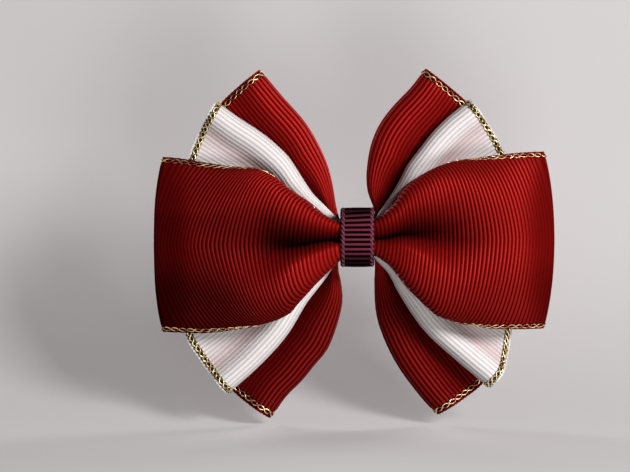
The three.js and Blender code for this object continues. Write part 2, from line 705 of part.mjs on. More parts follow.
// pad in front of the base jaw
function gluePad() {
  return roundedPlan([-6.6, 6.6], 6.4, [1.6, 1.6], {
    depth: 0.5,
    bevelEnabled: true,
    bevelThickness: 0.12,
    bevelSize: 0.25,
    bevelOffset: -0.25,
    bevelSegments: 1,
    curveSegments: 4,
  }).translate(0, -1.78, 0);
}

// thin dab between the rear of the wrap and the base jaw
const wrapGlue = () => new THREE.BoxGeometry(5.2, 0.14, 5.4).translate(0, -0.675, 0);

// ---------------------------------------------------------------- assembly
const bow = new THREE.Group();

function add(name, source, surface, parent = bow) {
  const geometry = source.index ? source.toNonIndexed() : source;
  geometry.computeVertexNormals();
  const mesh = new THREE.Mesh(geometry, surface);
  mesh.name = name;
  parent.add(mesh);
}

const loop = frontLoopSheet();
const loopSign = outwardSign(loop, LOOP_STEPS.front - 3, vector(28, -14, 0));
add('front_loop', ribbon(loop), RED);
add('front_loop_gold_top', goldStrip(loop, LOOP_ROWS.length - 2, loopSign), GOLD);
add('front_loop_gold_bottom', goldStrip(loop, 0, loopSign), GOLD);

for (const [name, fan] of Object.entries(FANS)) {
  const sheet = fanSheet(fan);
  const sign = outwardSign(sheet, 10, vector(fan.side * 25, fan.baseY(0.6), 0));
  add(name, ribbon(sheet), fan.material);
  add(`${name}_gold`, goldStrip(sheet, FAN_ROWS.length - 2, sign), GOLD);
}

add('centre_wrap', centreWrap(), BURGUNDY);
add('front_loop_thread', loopThread(), THREAD);
add('left_fan_thread', fanThread(-2.75), THREAD);
add('right_fan_thread', fanThread(1.95), THREAD);
add('knot_glue_pad', gluePad(), GLUE);
add('wrap_glue_dab', wrapGlue(), GLUE);

add('clip_base_jaw', baseJaw(), STEEL);
const lever = new THREE.Group();   // the moving jaw
bow.add(lever);
add('clip_lever_jaw', leverJaw(), STEEL, lever);
add('clip_hinge_pin', hingePin(), STEEL);
add('clip_torsion_spring', torsionSpring(), SPRING);

export default bow;
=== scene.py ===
# Layered hair bow: ribbons, chain edging, knot and clip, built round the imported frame.
import math
import bpy
import numpy as np
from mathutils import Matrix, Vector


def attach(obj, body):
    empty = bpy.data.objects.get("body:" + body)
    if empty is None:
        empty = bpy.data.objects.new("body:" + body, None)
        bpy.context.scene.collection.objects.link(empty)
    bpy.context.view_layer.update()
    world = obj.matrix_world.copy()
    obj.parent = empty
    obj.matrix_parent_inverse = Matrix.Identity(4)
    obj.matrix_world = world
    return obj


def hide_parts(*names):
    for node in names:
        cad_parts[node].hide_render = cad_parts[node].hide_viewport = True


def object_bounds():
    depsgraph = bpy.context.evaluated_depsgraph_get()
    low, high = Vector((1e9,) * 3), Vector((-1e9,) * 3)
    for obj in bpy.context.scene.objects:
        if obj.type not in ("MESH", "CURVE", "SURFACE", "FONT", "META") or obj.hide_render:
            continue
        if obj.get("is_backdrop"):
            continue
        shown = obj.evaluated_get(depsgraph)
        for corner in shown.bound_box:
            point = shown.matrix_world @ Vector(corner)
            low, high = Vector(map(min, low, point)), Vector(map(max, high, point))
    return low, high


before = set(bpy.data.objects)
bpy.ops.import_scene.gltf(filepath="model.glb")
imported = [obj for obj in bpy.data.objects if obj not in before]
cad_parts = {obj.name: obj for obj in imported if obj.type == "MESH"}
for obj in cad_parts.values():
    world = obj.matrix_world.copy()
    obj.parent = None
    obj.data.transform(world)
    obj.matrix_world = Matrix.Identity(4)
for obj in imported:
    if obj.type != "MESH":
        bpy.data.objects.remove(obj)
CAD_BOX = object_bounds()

MM = 0.001

# ------------------------------------------------------------------ small maths
def lerp(a, b, t):
    return a + (b - a) * t

def smooth(t):
    t = np.clip(t, 0.0, 1.0)
    return t * t * (3 - 2 * t)

def table(rows):
    """Monotone cubic through a table of (x, y), for arrays."""
    x = np.array([r[0] for r in rows], float)
    y = np.array([r[1] for r in rows], float)
    h = np.diff(x)
    d = np.diff(y) / h
    m = np.zeros_like(y)
    m[0], m[-1] = d[0], d[-1]
    for i in range(1, len(x) - 1):
        m[i] = 0.0 if d[i - 1] * d[i] <= 0 else 2 * d[i - 1] * d[i] / (d[i - 1] + d[i])
    def f(t):
        t = np.clip(np.asarray(t, float), x[0], x[-1])
        i = np.clip(np.searchsorted(x, t, side="right") - 1, 0, len(x) - 2)
        s = (t - x[i]) / h[i]
        return (y[i] * (1 + 2 * s) * (1 - s) ** 2 + m[i] * h[i] * s * (1 - s) ** 2
                + y[i + 1] * s * s * (3 - 2 * s) + m[i + 1] * h[i] * s * s * (s - 1))
    return f

class Curve:
    """Centripetal Catmull-Rom through points, read by fraction of its length."""
    def __init__(self, pts, n=40):
        p = np.array([list(q) + [0.0] * (3 - len(q)) for q in pts], float)
        p = np.vstack([2 * p[0] - p[1], p, 2 * p[-1] - p[-2]])
        out = []
        for i in range(1, len(p) - 2):
            p0, p1, p2, p3 = p[i - 1:i + 3]
            t0 = 0.0
            t1 = t0 + max(np.linalg.norm(p1 - p0), 1e-9) ** 0.5
            t2 = t1 + max(np.linalg.norm(p2 - p1), 1e-9) ** 0.5
            t3 = t2 + max(np.linalg.norm(p3 - p2), 1e-9) ** 0.5
            t = np.linspace(t1, t2, n, endpoint=False)[:, None]
            a1 = (t1 - t) / (t1 - t0) * p0 + (t - t0) / (t1 - t0) * p1
            a2 = (t2 - t) / (t2 - t1) * p1 + (t - t1) / (t2 - t1) * p2
            a3 = (t3 - t) / (t3 - t2) * p2 + (t - t2) / (t3 - t2) * p3
            b1 = (t2 - t) / (t2 - t0) * a1 + (t - t0) / (t2 - t0) * a2
            b2 = (t3 - t) / (t3 - t1) * a2 + (t - t1) / (t3 - t1) * a3
            out.append((t2 - t) / (t2 - t1) * b1 + (t - t1) / (t2 - t1) * b2)
        self.p = np.vstack(out + [p[-2][None, :]])
        self.s = np.concatenate([[0], np.cumsum(np.linalg.norm(np.diff(self.p, axis=0), axis=1))])
        self.length = self.s[-1]
    def at(self, f):
        f = np.clip(np.asarray(f, float), 0, 1) * self.length
        return np.stack([np.interp(f, self.s, self.p[:, k]) for k in range(3)], -1)

def ripple(u, v, seed, amp):
    """Deterministic soft waviness, smooth in u and v (mm)."""
    rng = np.random.RandomState(seed)
    out = np.zeros(np.broadcast(u, v).shape)
    for _ in range(7):
        a, b = rng.uniform(0.05, 0.32, 2)
        p, q = rng.uniform(0, 2 * math.pi, 2)
        out = out + np.sin(a * u + p) * np.sin(b * v + q) * rng.uniform(0.4, 1.0)
    return out * amp / 2.2

# ------------------------------------------------------------------ mesh helpers
def make_mesh(name, verts, faces, mats, body, replaces=(), attrs=None, midx=None, flat=False):
    """verts (n,3) in mm, faces (m,4) or list; attrs {name: per-vertex floats}."""
    me = bpy.data.meshes.new(name)
    verts = np.asarray(verts, float) * MM
    faces = np.asarray(faces, np.int64)
    n, k = faces.shape
    me.vertices.add(len(verts))
    me.vertices.foreach_set("co", verts.astype(np.float32).ravel())
    me.loops.add(n * k)
    me.loops.foreach_set("vertex_index", faces.ravel().astype(np.int32))
    me.polygons.add(n)
    me.polygons.foreach_set("loop_start", np.arange(0, n * k, k, dtype=np.int32))
    if midx is not None:
        me.polygons.foreach_set("material_index", np.asarray(midx, np.int32))
    me.update(calc_edges=True)
    me.validate()
    me.polygons.foreach_set("use_smooth", np.full(n, not flat))
    for key, val in (attrs or {}).items():
        val = np.asarray(val, np.float32)
        a = me.attributes.new(key, "FLOAT" if val.ndim == 1 else "FLOAT_VECTOR", "POINT")
        a.data.foreach_set("value" if val.ndim == 1 else "vector", val.ravel())
    for m in (mats if isinstance(mats, (list, tuple)) else [mats]):
        me.materials.append(m)
    ob = bpy.data.objects.new(name, me)
    bpy.context.scene.collection.objects.link(ob)
    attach(ob, body)
    if replaces:
        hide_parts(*replaces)
    return ob

def grid_normals(P, closed=False):
    if closed:
        du = np.roll(P, -1, 0) - np.roll(P, 1, 0)
    else:
        du = np.gradient(P, axis=0)
    dv = np.gradient(P, axis=1)
    n = np.cross(du, dv)
    return n / np.maximum(np.linalg.norm(n, axis=-1, keepdims=True), 1e-9)

def grid_faces(n, m, base=0, closed_u=False, closed_v=False, flip=False):
    i = np.arange(n if closed_u else n - 1)
    j = np.arange(m if closed_v else m - 1)
    I, J = np.meshgrid(i, j, indexing="ij")
    I2, J2 = (I + 1) % n, (J + 1) % m
    f = np.stack([I * m + J, I2 * m + J, I2 * m + J2, I * m + J2], -1).reshape(-1, 4) + base
    return f[:, ::-1] if flip else f

# ------------------------------------------------------------------ ribbon
RIB_PHASE = np.array([0.0, 0.16, 0.33, 0.5, 0.67, 0.84])
RIB_H = np.array([1.0, 0.86, 0.42, 0.0, 0.42, 0.86])
SELV = 0.3        # plain selvage outside the chain
CHAIN_W = 1.3

def rib_stations(total, pitch):
    """Positions along the ribbon that carry six samples a rib, and their relief."""
    n = max(4, int(round(total / pitch)))
    k = np.arange(n)[:, None] + RIB_PHASE[None, :]
    s = np.append(k.ravel(), n) * (total / n)
    h = np.append(np.tile(RIB_H, n), 1.0)
    return s, h, total / n

def across(width, rows, edge_rows=True, band=(SELV, SELV + CHAIN_W)):
    """Rows across a ribbon, finer at the selvages."""
    w = [0.0, 0.1, 0.3, band[0], band[0] + 0.15, band[1] - 0.15, band[1], band[1] + 0.5]
    inner = np.linspace(band[1] + 0.5, width - band[1] - 0.5, rows - 2 * len(w) + 2)[1:-1]
    return np.array(w + list(inner) + [width - v for v in reversed(w)])

def ribbon(name, P, h, s, w, pitch, mats, body, replaces, core=0.12, relief=0.19,
           chain_rows=(True, True), width=40.0, shade=None, calm=None):
    """Woven ribbon from its middle surface P[i, j] (mm): both faces, cross ribs, selvages and cut ends."""
    n, m = P.shape[:2]
    N = grid_normals(P)
    # ribs keep their height where the ribbon keeps its length, and flatten where it is drawn together
    step = np.linalg.norm(np.gradient(P, axis=0), axis=-1) / np.gradient(s)[:, None]
    amp = np.clip(step, 0.0, 1.0) ** 1.2
    calm = np.zeros((n, m)) if calm is None else np.broadcast_to(calm, (n, m))
    amp = amp * (1 - 0.5 * calm)
    e = np.minimum(w, width - w)
    flat = np.ones(m)
    for k, on in enumerate(chain_rows):
        side = w if k == 0 else width - w
        if on:
            flat = np.where((side > SELV - 0.05) & (side < SELV + CHAIN_W + 0.05), 0.25, flat)
    edge = smooth(e / 0.35)
    half = (core * lerp(0.75, 1.0, edge)[None, :] + relief * h[:, None] * amp * (flat * lerp(0.45, 1.0, edge))[None, :])
    half[:, 0] *= 0.55
    half[:, -1] *= 0.55
    # scalloped selvage: each rib's yarn turns back round the edge
    out = np.zeros((n, m))
    out[:, 0] = -1
    out[:, -1] = 1
    tw = np.gradient(P, axis=1)
    tw /= np.maximum(np.linalg.norm(tw, axis=-1, keepdims=True), 1e-9)
    P = P + tw * (out * 0.09 * (h[:, None] - 0.5) * amp)[..., None]
    top, bot = P + N * half[..., None], P - N * half[..., None]
    verts = np.concatenate([top.reshape(-1, 3), bot.reshape(-1, 3)])
    f = [grid_faces(n, m), grid_faces(n, m, n * m, flip=True)]
    i = np.arange(n - 1)
    for j, fl in ((0, True), (m - 1, False)):
        a, b = i * m + j, (i + 1) * m + j
        q = np.stack([a, b, b + n * m, a + n * m], -1)
        f.append(q if fl else q[:, ::-1])
    j = np.arange(m - 1)
    for r, fl in ((0, False), (n - 1, True)):
        a, b = r * m + j, r * m + j + 1
        q = np.stack([a, b, b + n * m, a + n * m], -1)
        f.append(q if fl else q[:, ::-1])
    faces = np.concatenate(f)
    rib = np.broadcast_to(h[:, None] * amp + (1 - amp) * 0.6, (n, m))
    uv = np.stack([np.broadcast_to(s[:, None], (n, m)), np.broadcast_to(w[None, :], (n, m)), np.zeros((n, m))], -1)
    sel = np.broadcast_to(np.where(e < SELV, 1.0, 0.0)[None, :], (n, m))
    # mask of the painted shadow strip under the gold chain
    dark = np.zeros(m)
    for k, on in enumerate(chain_rows):
        side = w if k == 0 else width - w
        if on:
            dark = np.where((side > SELV + 0.1) & (side < SELV + CHAIN_W - 0.1), 1.0, dark)
    dark = np.broadcast_to(dark[None, :], (n, m))
    two = lambda a: np.concatenate([a.reshape(-1, *a.shape[2:])] * 2)
    # the shade and calm attributes carry painted shade to the material
    ob = make_mesh(name, verts, faces, mats, body, replaces,
                   {"rib": two(rib), "cloth": two(uv), "selvage": two(sel), "band": two(dark),
                    "shade": two(np.ones((n, m)) if shade is None else shade), "calm": two(calm)})
    return ob, N

# ------------------------------------------------------------------ chain edging
def chain_path(P, N, w, at, lift):
    """Centre line of the chain and its frame, on one face of a ribbon."""
    j = np.searchsorted(w, at)
    j = min(max(j, 1), len(w) - 1)
    t = (at - w[j - 1]) / (w[j] - w[j - 1])
    C = lerp(P[:, j - 1], P[:, j], t)
    n = lerp(N[:, j - 1], N[:, j], t)
    n /= np.linalg.norm(n, axis=-1, keepdims=True)
    c = P[:, j] - P[:, j - 1]
    k = np.clip(np.linalg.norm(c, axis=-1) / (w[j] - w[j - 1]), 0.3, 1.0)
    c /= np.maximum(np.linalg.norm(c, axis=-1, keepdims=True), 1e-9)
    return C + n * lift, n, c, k

def chain(C, n, c, k_local=None, link=1.32, amp=0.44, r=0.165, per=8, sides=6, over=0.11):
    """Two yarns that cross over and under, so that they show as a row of linked ovals."""
    s = np.concatenate([[0], np.cumsum(np.linalg.norm(np.diff(C, axis=0), axis=1))])
    L = s[-1]
    k = max(2, int(round(L / link)))
    t = np.linspace(0, L, k * per + 1)
    get = lambda A: np.stack([np.interp(t, s, A[:, d]) for d in range(3)], -1)
    loc = np.ones(len(t)) if k_local is None else np.interp(t, s, k_local)
    C, n, c = get(C), get(n), get(c)
    n /= np.linalg.norm(n, axis=-1, keepdims=True)
    c /= np.linalg.norm(c, axis=-1, keepdims=True)
    verts, faces, tone = [], [], []
    base = 0
    for sign in (1, -1):
        a = math.pi * t * k / L
        sn, cs = np.sin(a), np.cos(a)
        lat = np.sign(sn) * np.abs(sn) ** 0.75 * amp * sign * loc
        Q = C + c * lat[:, None] + n * (over * cs * sign * loc)[:, None]
        T = np.gradient(Q, axis=0)
        T /= np.linalg.norm(T, axis=-1, keepdims=True)
        B = np.cross(T, n)
        B /= np.linalg.norm(B, axis=-1, keepdims=True)
        U = np.cross(B, T)
        ang = np.arange(sides) * 2 * math.pi / sides
        rr = (r * loc)[:, None, None]
        ring = (Q[:, None] + B[:, None] * np.cos(ang)[None, :, None] * rr + U[:, None] * np.sin(ang)[None, :, None] * rr * 0.75)
        m = len(Q)
        verts.append(ring.reshape(-1, 3))
        faces.append(grid_faces(m, sides, base, closed_v=True, flip=True))
        for row, fl in ((0, True), (m - 1, False)):
            o = base + row * sides
            q = np.array([[o, o + 1, o + 2, o + 3], [o, o + 3, o + 4, o + 5]])
            faces.append(q if fl else q[:, ::-1])
        tone.append(np.repeat(0.5 + 0.5 * np.sin(np.round(a / math.pi) * 2.4 + sign), sides))
        base += m * sides
    return np.concatenate(verts), np.concatenate(faces), np.concatenate(tone)

def chains(name, paths, mat, body, replaces, link=1.85, amp=0.44, r=0.165):
    v, f, t, b = [], [], [], 0
    for C, n, c, k in paths:
        V, F, T = chain(C, n, c, k, link=link, amp=amp, r=r, per=8 if link < 1.6 else 10)
        v.append(V); f.append(F + b); t.append(T)
        b += len(V)
    return make_mesh(name, np.concatenate(v), np.concatenate(f), mat, body, replaces, {"tone": np.concatenate(t)})

# ------------------------------------------------------------------ tubes
def tube(path, r, sides=10, closed=False, caps=True):
    p = np.asarray(path, float)
    T = np.gradient(p, axis=0)
    if closed:
        T = np.roll(p, -1, 0) - np.roll(p, 1, 0)
    T /= np.maximum(np.linalg.norm(T, axis=-1, keepdims=True), 1e-9)
    N = np.zeros_like(p)
    a = np.array([0.0, 0.0, 1.0]) if abs(T[0][2]) < 0.9 else np.array([1.0, 0, 0])
    N[0] = np.cross(T[0], a); N[0] /= np.linalg.norm(N[0])
    for i in range(1, len(p)):
        v = N[i - 1] - T[i] * np.dot(N[i - 1], T[i])
        N[i] = v / np.linalg.norm(v)
    B = np.cross(T, N)
    ang = np.arange(sides) * 2 * math.pi / sides
    rr = np.broadcast_to(np.asarray(r, float), (len(p),))
    ring = p[:, None] + (N[:, None] * np.cos(ang)[None, :, None] + B[:, None] * np.sin(ang)[None, :, None]) * rr[:, None, None]
    V = ring.reshape(-1, 3)
    F = grid_faces(len(p), sides, closed_u=closed, closed_v=True)
    if caps and not closed:
        b = len(V)
        V = np.vstack([V, p[0], p[-1]])
        k = np.arange(sides)
        c0 = np.stack([np.full(sides, b), (k + 1) % sides, k, k], -1)
        c1 = np.stack([np.full(sides, b + 1), (len(p) - 1) * sides + k, (len(p) - 1) * sides + (k + 1) % sides, (len(p) - 1) * sides + (k + 1) % sides], -1)
        return V, F, np.vstack([c0[:, :3], c1[:, :3]])
    return V, F, None

def tris_and_quads(name, V, F, tris, mat, body, replaces=()):
    me = bpy.data.meshes.new(name)
    faces = [tuple(int(i) for i in f) for f in F] + [tuple(int(i) for i in f) for f in (tris if tris is not None else [])]
    me.from_pydata([tuple(v) for v in (np.asarray(V) * MM)], [], faces)
    me.validate()
    for p in me.polygons:
        p.use_smooth = True
    me.materials.append(mat)
    ob = bpy.data.objects.new(name, me)
    bpy.context.scene.collection.objects.link(ob)
    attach(ob, body)
    if replaces:
        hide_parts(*replaces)
    return ob

# ------------------------------------------------------------------ materials
class Nodes:
    """Short hand for building a node material."""
    def __init__(self, name):
        self.mat = bpy.data.materials.new(name)
        self.mat.use_nodes = True
        self.t = self.mat.node_tree
        self.b = self.t.nodes["Principled BSDF"]
    def new(self, kind, **props):
        n = self.t.nodes.new(kind)
        for k, v in props.items():
            setattr(n, k, v)
        return n
    def link(self, a, b):
        self.t.links.new(a, b)
    def put(self, sock, v):
        if isinstance(v, bpy.types.NodeSocket):
            self.link(v, sock)
        elif v is not None:
            sock.default_value = v
    def math(self, op, a, b=None, c=None, clamp=False):
        n = self.new("ShaderNodeMath", operation=op, use_clamp=clamp)
        for i, v in enumerate((a, b, c)):
            if v is not None:
                self.put(n.inputs[i], v)
        return n.outputs[0]
    def mix(self, f, a, b, mode="MIX"):
        n = self.new("ShaderNodeMix", data_type="RGBA", blend_type=mode)
        self.put(n.inputs[0], f)
        for i, v in ((6, a), (7, b)):
            if isinstance(v, tuple) and len(v) == 3:
                v = (*v, 1)
            self.put(n.inputs[i], v)
        return n.outputs[2]
    def attr(self, name, out="Fac"):
        return self.new("ShaderNodeAttribute", attribute_name=name).outputs[out]
    def remap(self, v, a, b, c=0.0, d=1.0, kind="SMOOTHSTEP"):
        n = self.new("ShaderNodeMapRange", interpolation_type=kind)
        n.clamp = True if hasattr(n, "clamp") else None
        self.put(n.inputs[0], v)
        for i, x in enumerate((a, b, c, d)):
            n.inputs[1 + i].default_value = x
        return n.outputs[0]
    def noise(self, vec, scale, detail=3, rough=0.5, out=0):
        n = self.new("ShaderNodeTexNoise")
        if vec is not None:
            self.put(n.inputs["Vector"], vec)
        n.inputs["Scale"].default_value = scale
        n.inputs["Detail"].default_value = detail
        n.inputs["Roughness"].default_value = rough
        return n.outputs[out]
    def bump(self, height, strength, distance, normal=None):
        n = self.new("ShaderNodeBump")
        n.inputs["Strength"].default_value = strength
        n.inputs["Distance"].default_value = distance
        self.put(n.inputs["Height"], height)
        if normal is not None:
            self.put(n.inputs["Normal"], normal)
        return n.outputs[0]
    def set(self, **kw):
        for k, v in kw.items():
            self.put(self.b.inputs[k.replace("_", " ")], v if not (isinstance(v, tuple) and len(v) == 3) else (*v, 1))
    def object_coords(self):
        return self.new("ShaderNodeTexCoord").outputs["Object"]


def srgb(r, g, b):
    f = lambda v: (v / 255 / 12.92) if v <= 10.3 else ((v / 255 + 0.055) / 1.055) ** 2.4
    return (f(r), f(g), f(b))


def grosgrain(name, crest, groove_painted_shade, edge, chain_gap_shadow=(0.012, 0.006, 0.004), rough=0.58, sheen=0.25, sheen_tint=(1, 0.6, 0.55), yarn_gap_shade=0.35,
              spec=0.32, spec_tint=(1, 1, 1), rise=(0.05, 0.85), satin=0.0, painted_shade=(0, 0, 0), even=(0.5, 0.5, 0.5)):
    m = Nodes(name)
    rib, sel, cloth = m.attr("rib"), m.attr("selvage"), m.attr("cloth", "Vector")
    sep = m.new("ShaderNodeSeparateXYZ")
    m.link(cloth, sep.inputs[0])
    s, w = sep.outputs[0], sep.outputs[1]
    # warp yarns run along the ribbon and ride over each rib
    yarn = m.math("SINE", m.math("MULTIPLY", w, 2 * math.pi / 0.26))
    wob = m.noise(cloth, 1.7, 2)
    fuzz = m.noise(cloth, 9.0, 3, 0.6)
    body = m.remap(rib, *rise)
    # painted shade: the rib grooves take a darker colour than the crests
    col = m.mix(body, groove_painted_shade, crest)
    col = m.mix(m.math("MULTIPLY", m.remap(wob, 0.3, 0.75), 0.22), col, m.mix(1.0, col, (0.62, 0.62, 0.62), "MULTIPLY"))
    col = m.mix(m.math("MULTIPLY", m.remap(fuzz, 0.35, 0.8), 0.16), col, m.mix(1.0, col, (1.5, 1.5, 1.5), "MULTIPLY"))
    # painted shade: the gaps between the warp yarns are darkened too
    col = m.mix(m.math("MULTIPLY", m.remap(yarn, -1, -0.2, 1, 0), 0.18), col, m.mix(1.0, col, (yarn_gap_shade, yarn_gap_shade, yarn_gap_shade), "MULTIPLY"))
    col = m.mix(sel, col, m.mix(0.6, col, edge))
    # painted shadow: the strip under the gold chain takes a near-black colour (dark red on the red ribbon), standing
    # for the shade between the links
    col = m.mix(m.attr("band"), col, chain_gap_shadow)
    shade, calm = m.attr("shade"), m.attr("calm")
    # calm evens the ribs towards a plain colour and lowers their crests' shine; beside the rounded folds and round the
    # loop ends this is painted shade
    col = m.mix(m.math("MULTIPLY", calm, 0.85), col, even)
    body = m.math("MULTIPLY", body, m.math("SUBTRACT", 1.0, m.math("MULTIPLY", calm, 0.8)))
    # painted shade: where the shade attribute falls below one the colour is multiplied towards a shade colour, black or
    # on the white ribbon a pink painted red bounce, and metallic and specular drop with it
    col = m.mix(shade, m.mix(1.0, col, painted_shade, "MULTIPLY"), col)
    m.set(Base_Color=col, Metallic=m.math("MULTIPLY", m.math("MULTIPLY", body, satin), shade))
    m.set(Roughness=m.math("ADD", m.math("MULTIPLY", fuzz, 0.16), rough - 0.08))
    h = m.math("ADD", m.math("MULTIPLY", yarn, m.math("MULTIPLY", body, 0.6)), m.math("MULTIPLY", fuzz, 1.0))
    m.set(Normal=m.bump(h, 0.35, 0.00003))
    m.set(Specular_IOR_Level=m.math("MULTIPLY", m.math("MULTIPLY", m.math("POWER", body, 2.0), spec), shade), Specular_Tint=spec_tint)
    m.b.inputs["Sheen Weight"].default_value = sheen
    m.b.inputs["Sheen Roughness"].default_value = 0.45
    m.b.inputs["Sheen Tint"].default_value = (*sheen_tint, 1)
    return m.mat


def chain_gold(name, dull, bright):
    m = Nodes(name)
    oc = m.object_coords()
    tone, glint = m.attr("tone"), m.noise(oc, 2600, 2)
    base = m.mix(m.remap(tone, 0.1, 0.9), dull, bright)
    # painted glints: small cream spots mixed into the gold's colour
    base = m.mix(m.math("MULTIPLY", m.remap(glint, 0.55, 0.68), 0.8), base, (1.0, 0.93, 0.74))
    m.set(Base_Color=base, Metallic=0.92)
    m.set(Roughness=m.math("ADD", m.math("MULTIPLY", m.noise(oc, 5200, 2), 0.35), 0.16))
    m.set(Normal=m.bump(m.noise(oc, 6000, 2), 0.6, 0.00004))
    return m.mat


def metal(name, color, rough, brush=(1, 40, 40), wear=0.3):
    m = Nodes(name)
    oc = m.object_coords()
    mp = m.new("ShaderNodeMapping")
    m.link(oc, mp.inputs[0])
    mp.inputs["Scale"].default_value = tuple(float(v) * 60 for v in brush)
    streak = m.noise(mp.outputs[0], 3.0, 5, 0.65)
    cloud = m.noise(oc, 180, 3)
    edge = m.new("ShaderNodeNewGeometry").outputs["Pointiness"]
    base = m.mix(m.remap(cloud, 0.3, 0.75), color, tuple(c * 0.82 for c in color))
    base = m.mix(m.math("MULTIPLY", m.remap(edge, 0.52, 0.6), wear), base, (0.92, 0.92, 0.9))
    m.set(Base_Color=base, Metallic=1.0)
    m.set(Roughness=m.math("ADD", m.math("MULTIPLY", streak, 0.22), rough - 0.08))
    m.set(Normal=m.bump(streak, 0.22, 0.00002))
    return m.mat


def thread_mat(name, color):
    m = Nodes(name)
    oc = m.object_coords()
    tone = m.attr("tone")
    fuzz = m.noise(oc, 9000, 3, 0.7)
    base = m.mix(m.remap(tone, 0, 1), tuple(c * 0.55 for c in color), color)
    base = m.mix(m.math("MULTIPLY", m.remap(fuzz, 0.4, 0.8), 0.35), base, tuple(min(1, c * 1.7 + 0.01) for c in color))
    m.set(Base_Color=base, Roughness=0.72)
    m.set(Normal=m.bump(fuzz, 0.5, 0.00003))
    m.b.inputs["Sheen Weight"].default_value = 0.3
    return m.mat


def glue_mat(name="hot_melt_glue_clear"):
    m = Nodes(name)
    oc = m.object_coords()
    n = m.noise(oc, 420, 4, 0.6)
    m.set(Base_Color=m.mix(m.remap(n, 0.3, 0.75), (0.86, 0.82, 0.72), (0.72, 0.66, 0.54)))
    m.set(Roughness=m.math("ADD", m.math("MULTIPLY", n, 0.2), 0.18), Normal=m.bump(n, 0.3, 0.0002))
    m.b.inputs["Subsurface Weight"].default_value = 0.35
    m.b.inputs["Subsurface Radius"].default_value = (0.002, 0.0018, 0.0014)
    m.b.inputs["Subsurface Scale"].default_value = 1.0
    return m.mat


# crest, then groove colour (painted shade in the rib troughs), then selvage; the colour under the chain is painted
# shadow
RED = grosgrain("red_grosgrain_weave", srgb(172, 34, 30), srgb(82, 8, 6), srgb(120, 14, 12), chain_gap_shadow=srgb(66, 8, 7), rough=0.5, sheen=0.02,
                spec=0.5, spec_tint=(1.0, 0.36, 0.34), satin=0.5, even=srgb(118, 17, 16))
# the white ribbon's shade colour is pink: painted shade with a painted red bounce
WHITE = grosgrain("white_grosgrain_weave", srgb(250, 247, 246), srgb(206, 194, 194), srgb(246, 240, 239),
                  chain_gap_shadow=(0.03, 0.022, 0.012), rough=0.6, sheen=0.1, sheen_tint=(1, 0.97, 0.95), yarn_gap_shade=0.8, painted_shade=(0.5, 0.22, 0.23), even=srgb(236, 227, 226))
BURGUNDY = grosgrain("burgundy_grosgrain_weave", srgb(112, 40, 60), srgb(5, 0, 1), srgb(40, 10, 18), sheen=0.04, sheen_tint=(0.9, 0.55, 0.7),
                     spec=0.6, spec_tint=(1.0, 0.55, 0.7), rise=(0.3, 0.95))
GOLD_RED = chain_gold("gold_lurex_on_red", (0.36, 0.07, 0.035), (1.0, 0.74, 0.42))
GOLD_WHITE = chain_gold("gold_lurex_on_white", (0.46, 0.32, 0.11), (1.0, 0.89, 0.58))
CORD = thread_mat("burgundy_selvage_cord", srgb(124, 62, 82))
STEEL = metal("nickel_plate_brushed", (0.66, 0.66, 0.645), 0.26)
SPRING = metal("spring_wire_steel", (0.5, 0.5, 0.5), 0.3, brush=(20, 20, 2), wear=0.1)
THREAD = thread_mat("binding_thread_red", srgb(130, 30, 32))
GLUE = glue_mat()

# ------------------------------------------------------------------ front loop
LOOP = {
    "left": dict(
        top=table([[0, 3.1], [4.2, 3.5], [9.3, 5.9], [12.7, 8.4], [18, 11.7], [20.8, 13.7], [26, 15.5], [32.2, 16.4], [38.1, 17.3], [43.9, 18.2], [47, 18.4]]),
        bottom=table([[0, -3.5], [3.7, -4.1], [4.8, -5.0], [7.3, -7.2], [12.7, -11.9], [15.8, -14.9], [17.4, -16.6], [23.7, -19.0], [27.3, -19.8], [32.7, -20.8], [38.1, -21.3], [43.7, -21.2], [47, -21.1]]),
        crease=table([[0, -0.2], [5, -0.4], [15, -1.8], [25, -1.5], [47, -1.4]]), end=46.0),
    "right": dict(
        top=table([[0, 3.4], [3.9, 4.0], [8.6, 7.2], [12.2, 11.6], [17, 14.8], [21.9, 16.7], [26.8, 17.8], [33.4, 18.8], [42.1, 19.5], [46, 19.6]]),
        bottom=table([[0, -3.3], [3.9, -3.6], [7.8, -5.6], [12.2, -10.0], [17, -14.8], [20.1, -17.2], [26.8, -19.0], [33.4, -20.1], [41.9, -20.4], [46, -20.4]]),
        crease=table([[0, -0.3], [5, -0.3], [11, 0.7], [25, 0.4], [46, -0.3]]), end=44.4),
}
FRONT_Y = {"left": table([[0, -14.1], [4, -15.2], [8, -17.3], [13, -19.2], [18, -19.9], [23, -19.6], [28, -18.7], [33, -17.3], [38.5, -15.3], [42, -13.8], [45.5, -12.3]]),
           "right": table([[0, -14.1], [4, -15.2], [8, -17.3], [14, -19.2], [20, -19.9], [26, -19.8], [31, -19.3], [35, -18.4], [38.5, -17.0], [42, -14.9], [45.5, -12.5]])}
END_SLOPE = {"left": 0.43, "right": 0.69}
BACK_Y = table([[0, -9.9], [4, -10.2], [9, -11.1], [20, -11.6], [30, -11.2], [40, -10.2]])
PLEAT = table([[0, 2.6], [4, 3.4], [9, 4.2], [14, 3.9], [20, 2.6], [26, 1.6], [34, 0.9], [42, 0.5], [47, 0.4]])
VALLEY_W = table([[0, 0.2], [8, 0.22], [16, 0.3], [30, 0.5], [47, 0.7]])
EDGE_BACK = table([[0, 1.0], [12, 0.95], [20, 0.8], [30, 0.7], [47, 0.6]])
ROUND = table([[0, 1], [14, 0.9], [22, 0.45], [30, 0.2], [47, 0]])
RIB_BOW = table([[0, 0.6], [8, 1.6], [16, 3.0], [28, 2.9], [47, 2.2]])
CURL = table([[0, 148], [10, 142], [17, 126], [23, 104], [29, 78], [36, 50], [47, 34]])      # turn of the section from crease to selvage, degrees
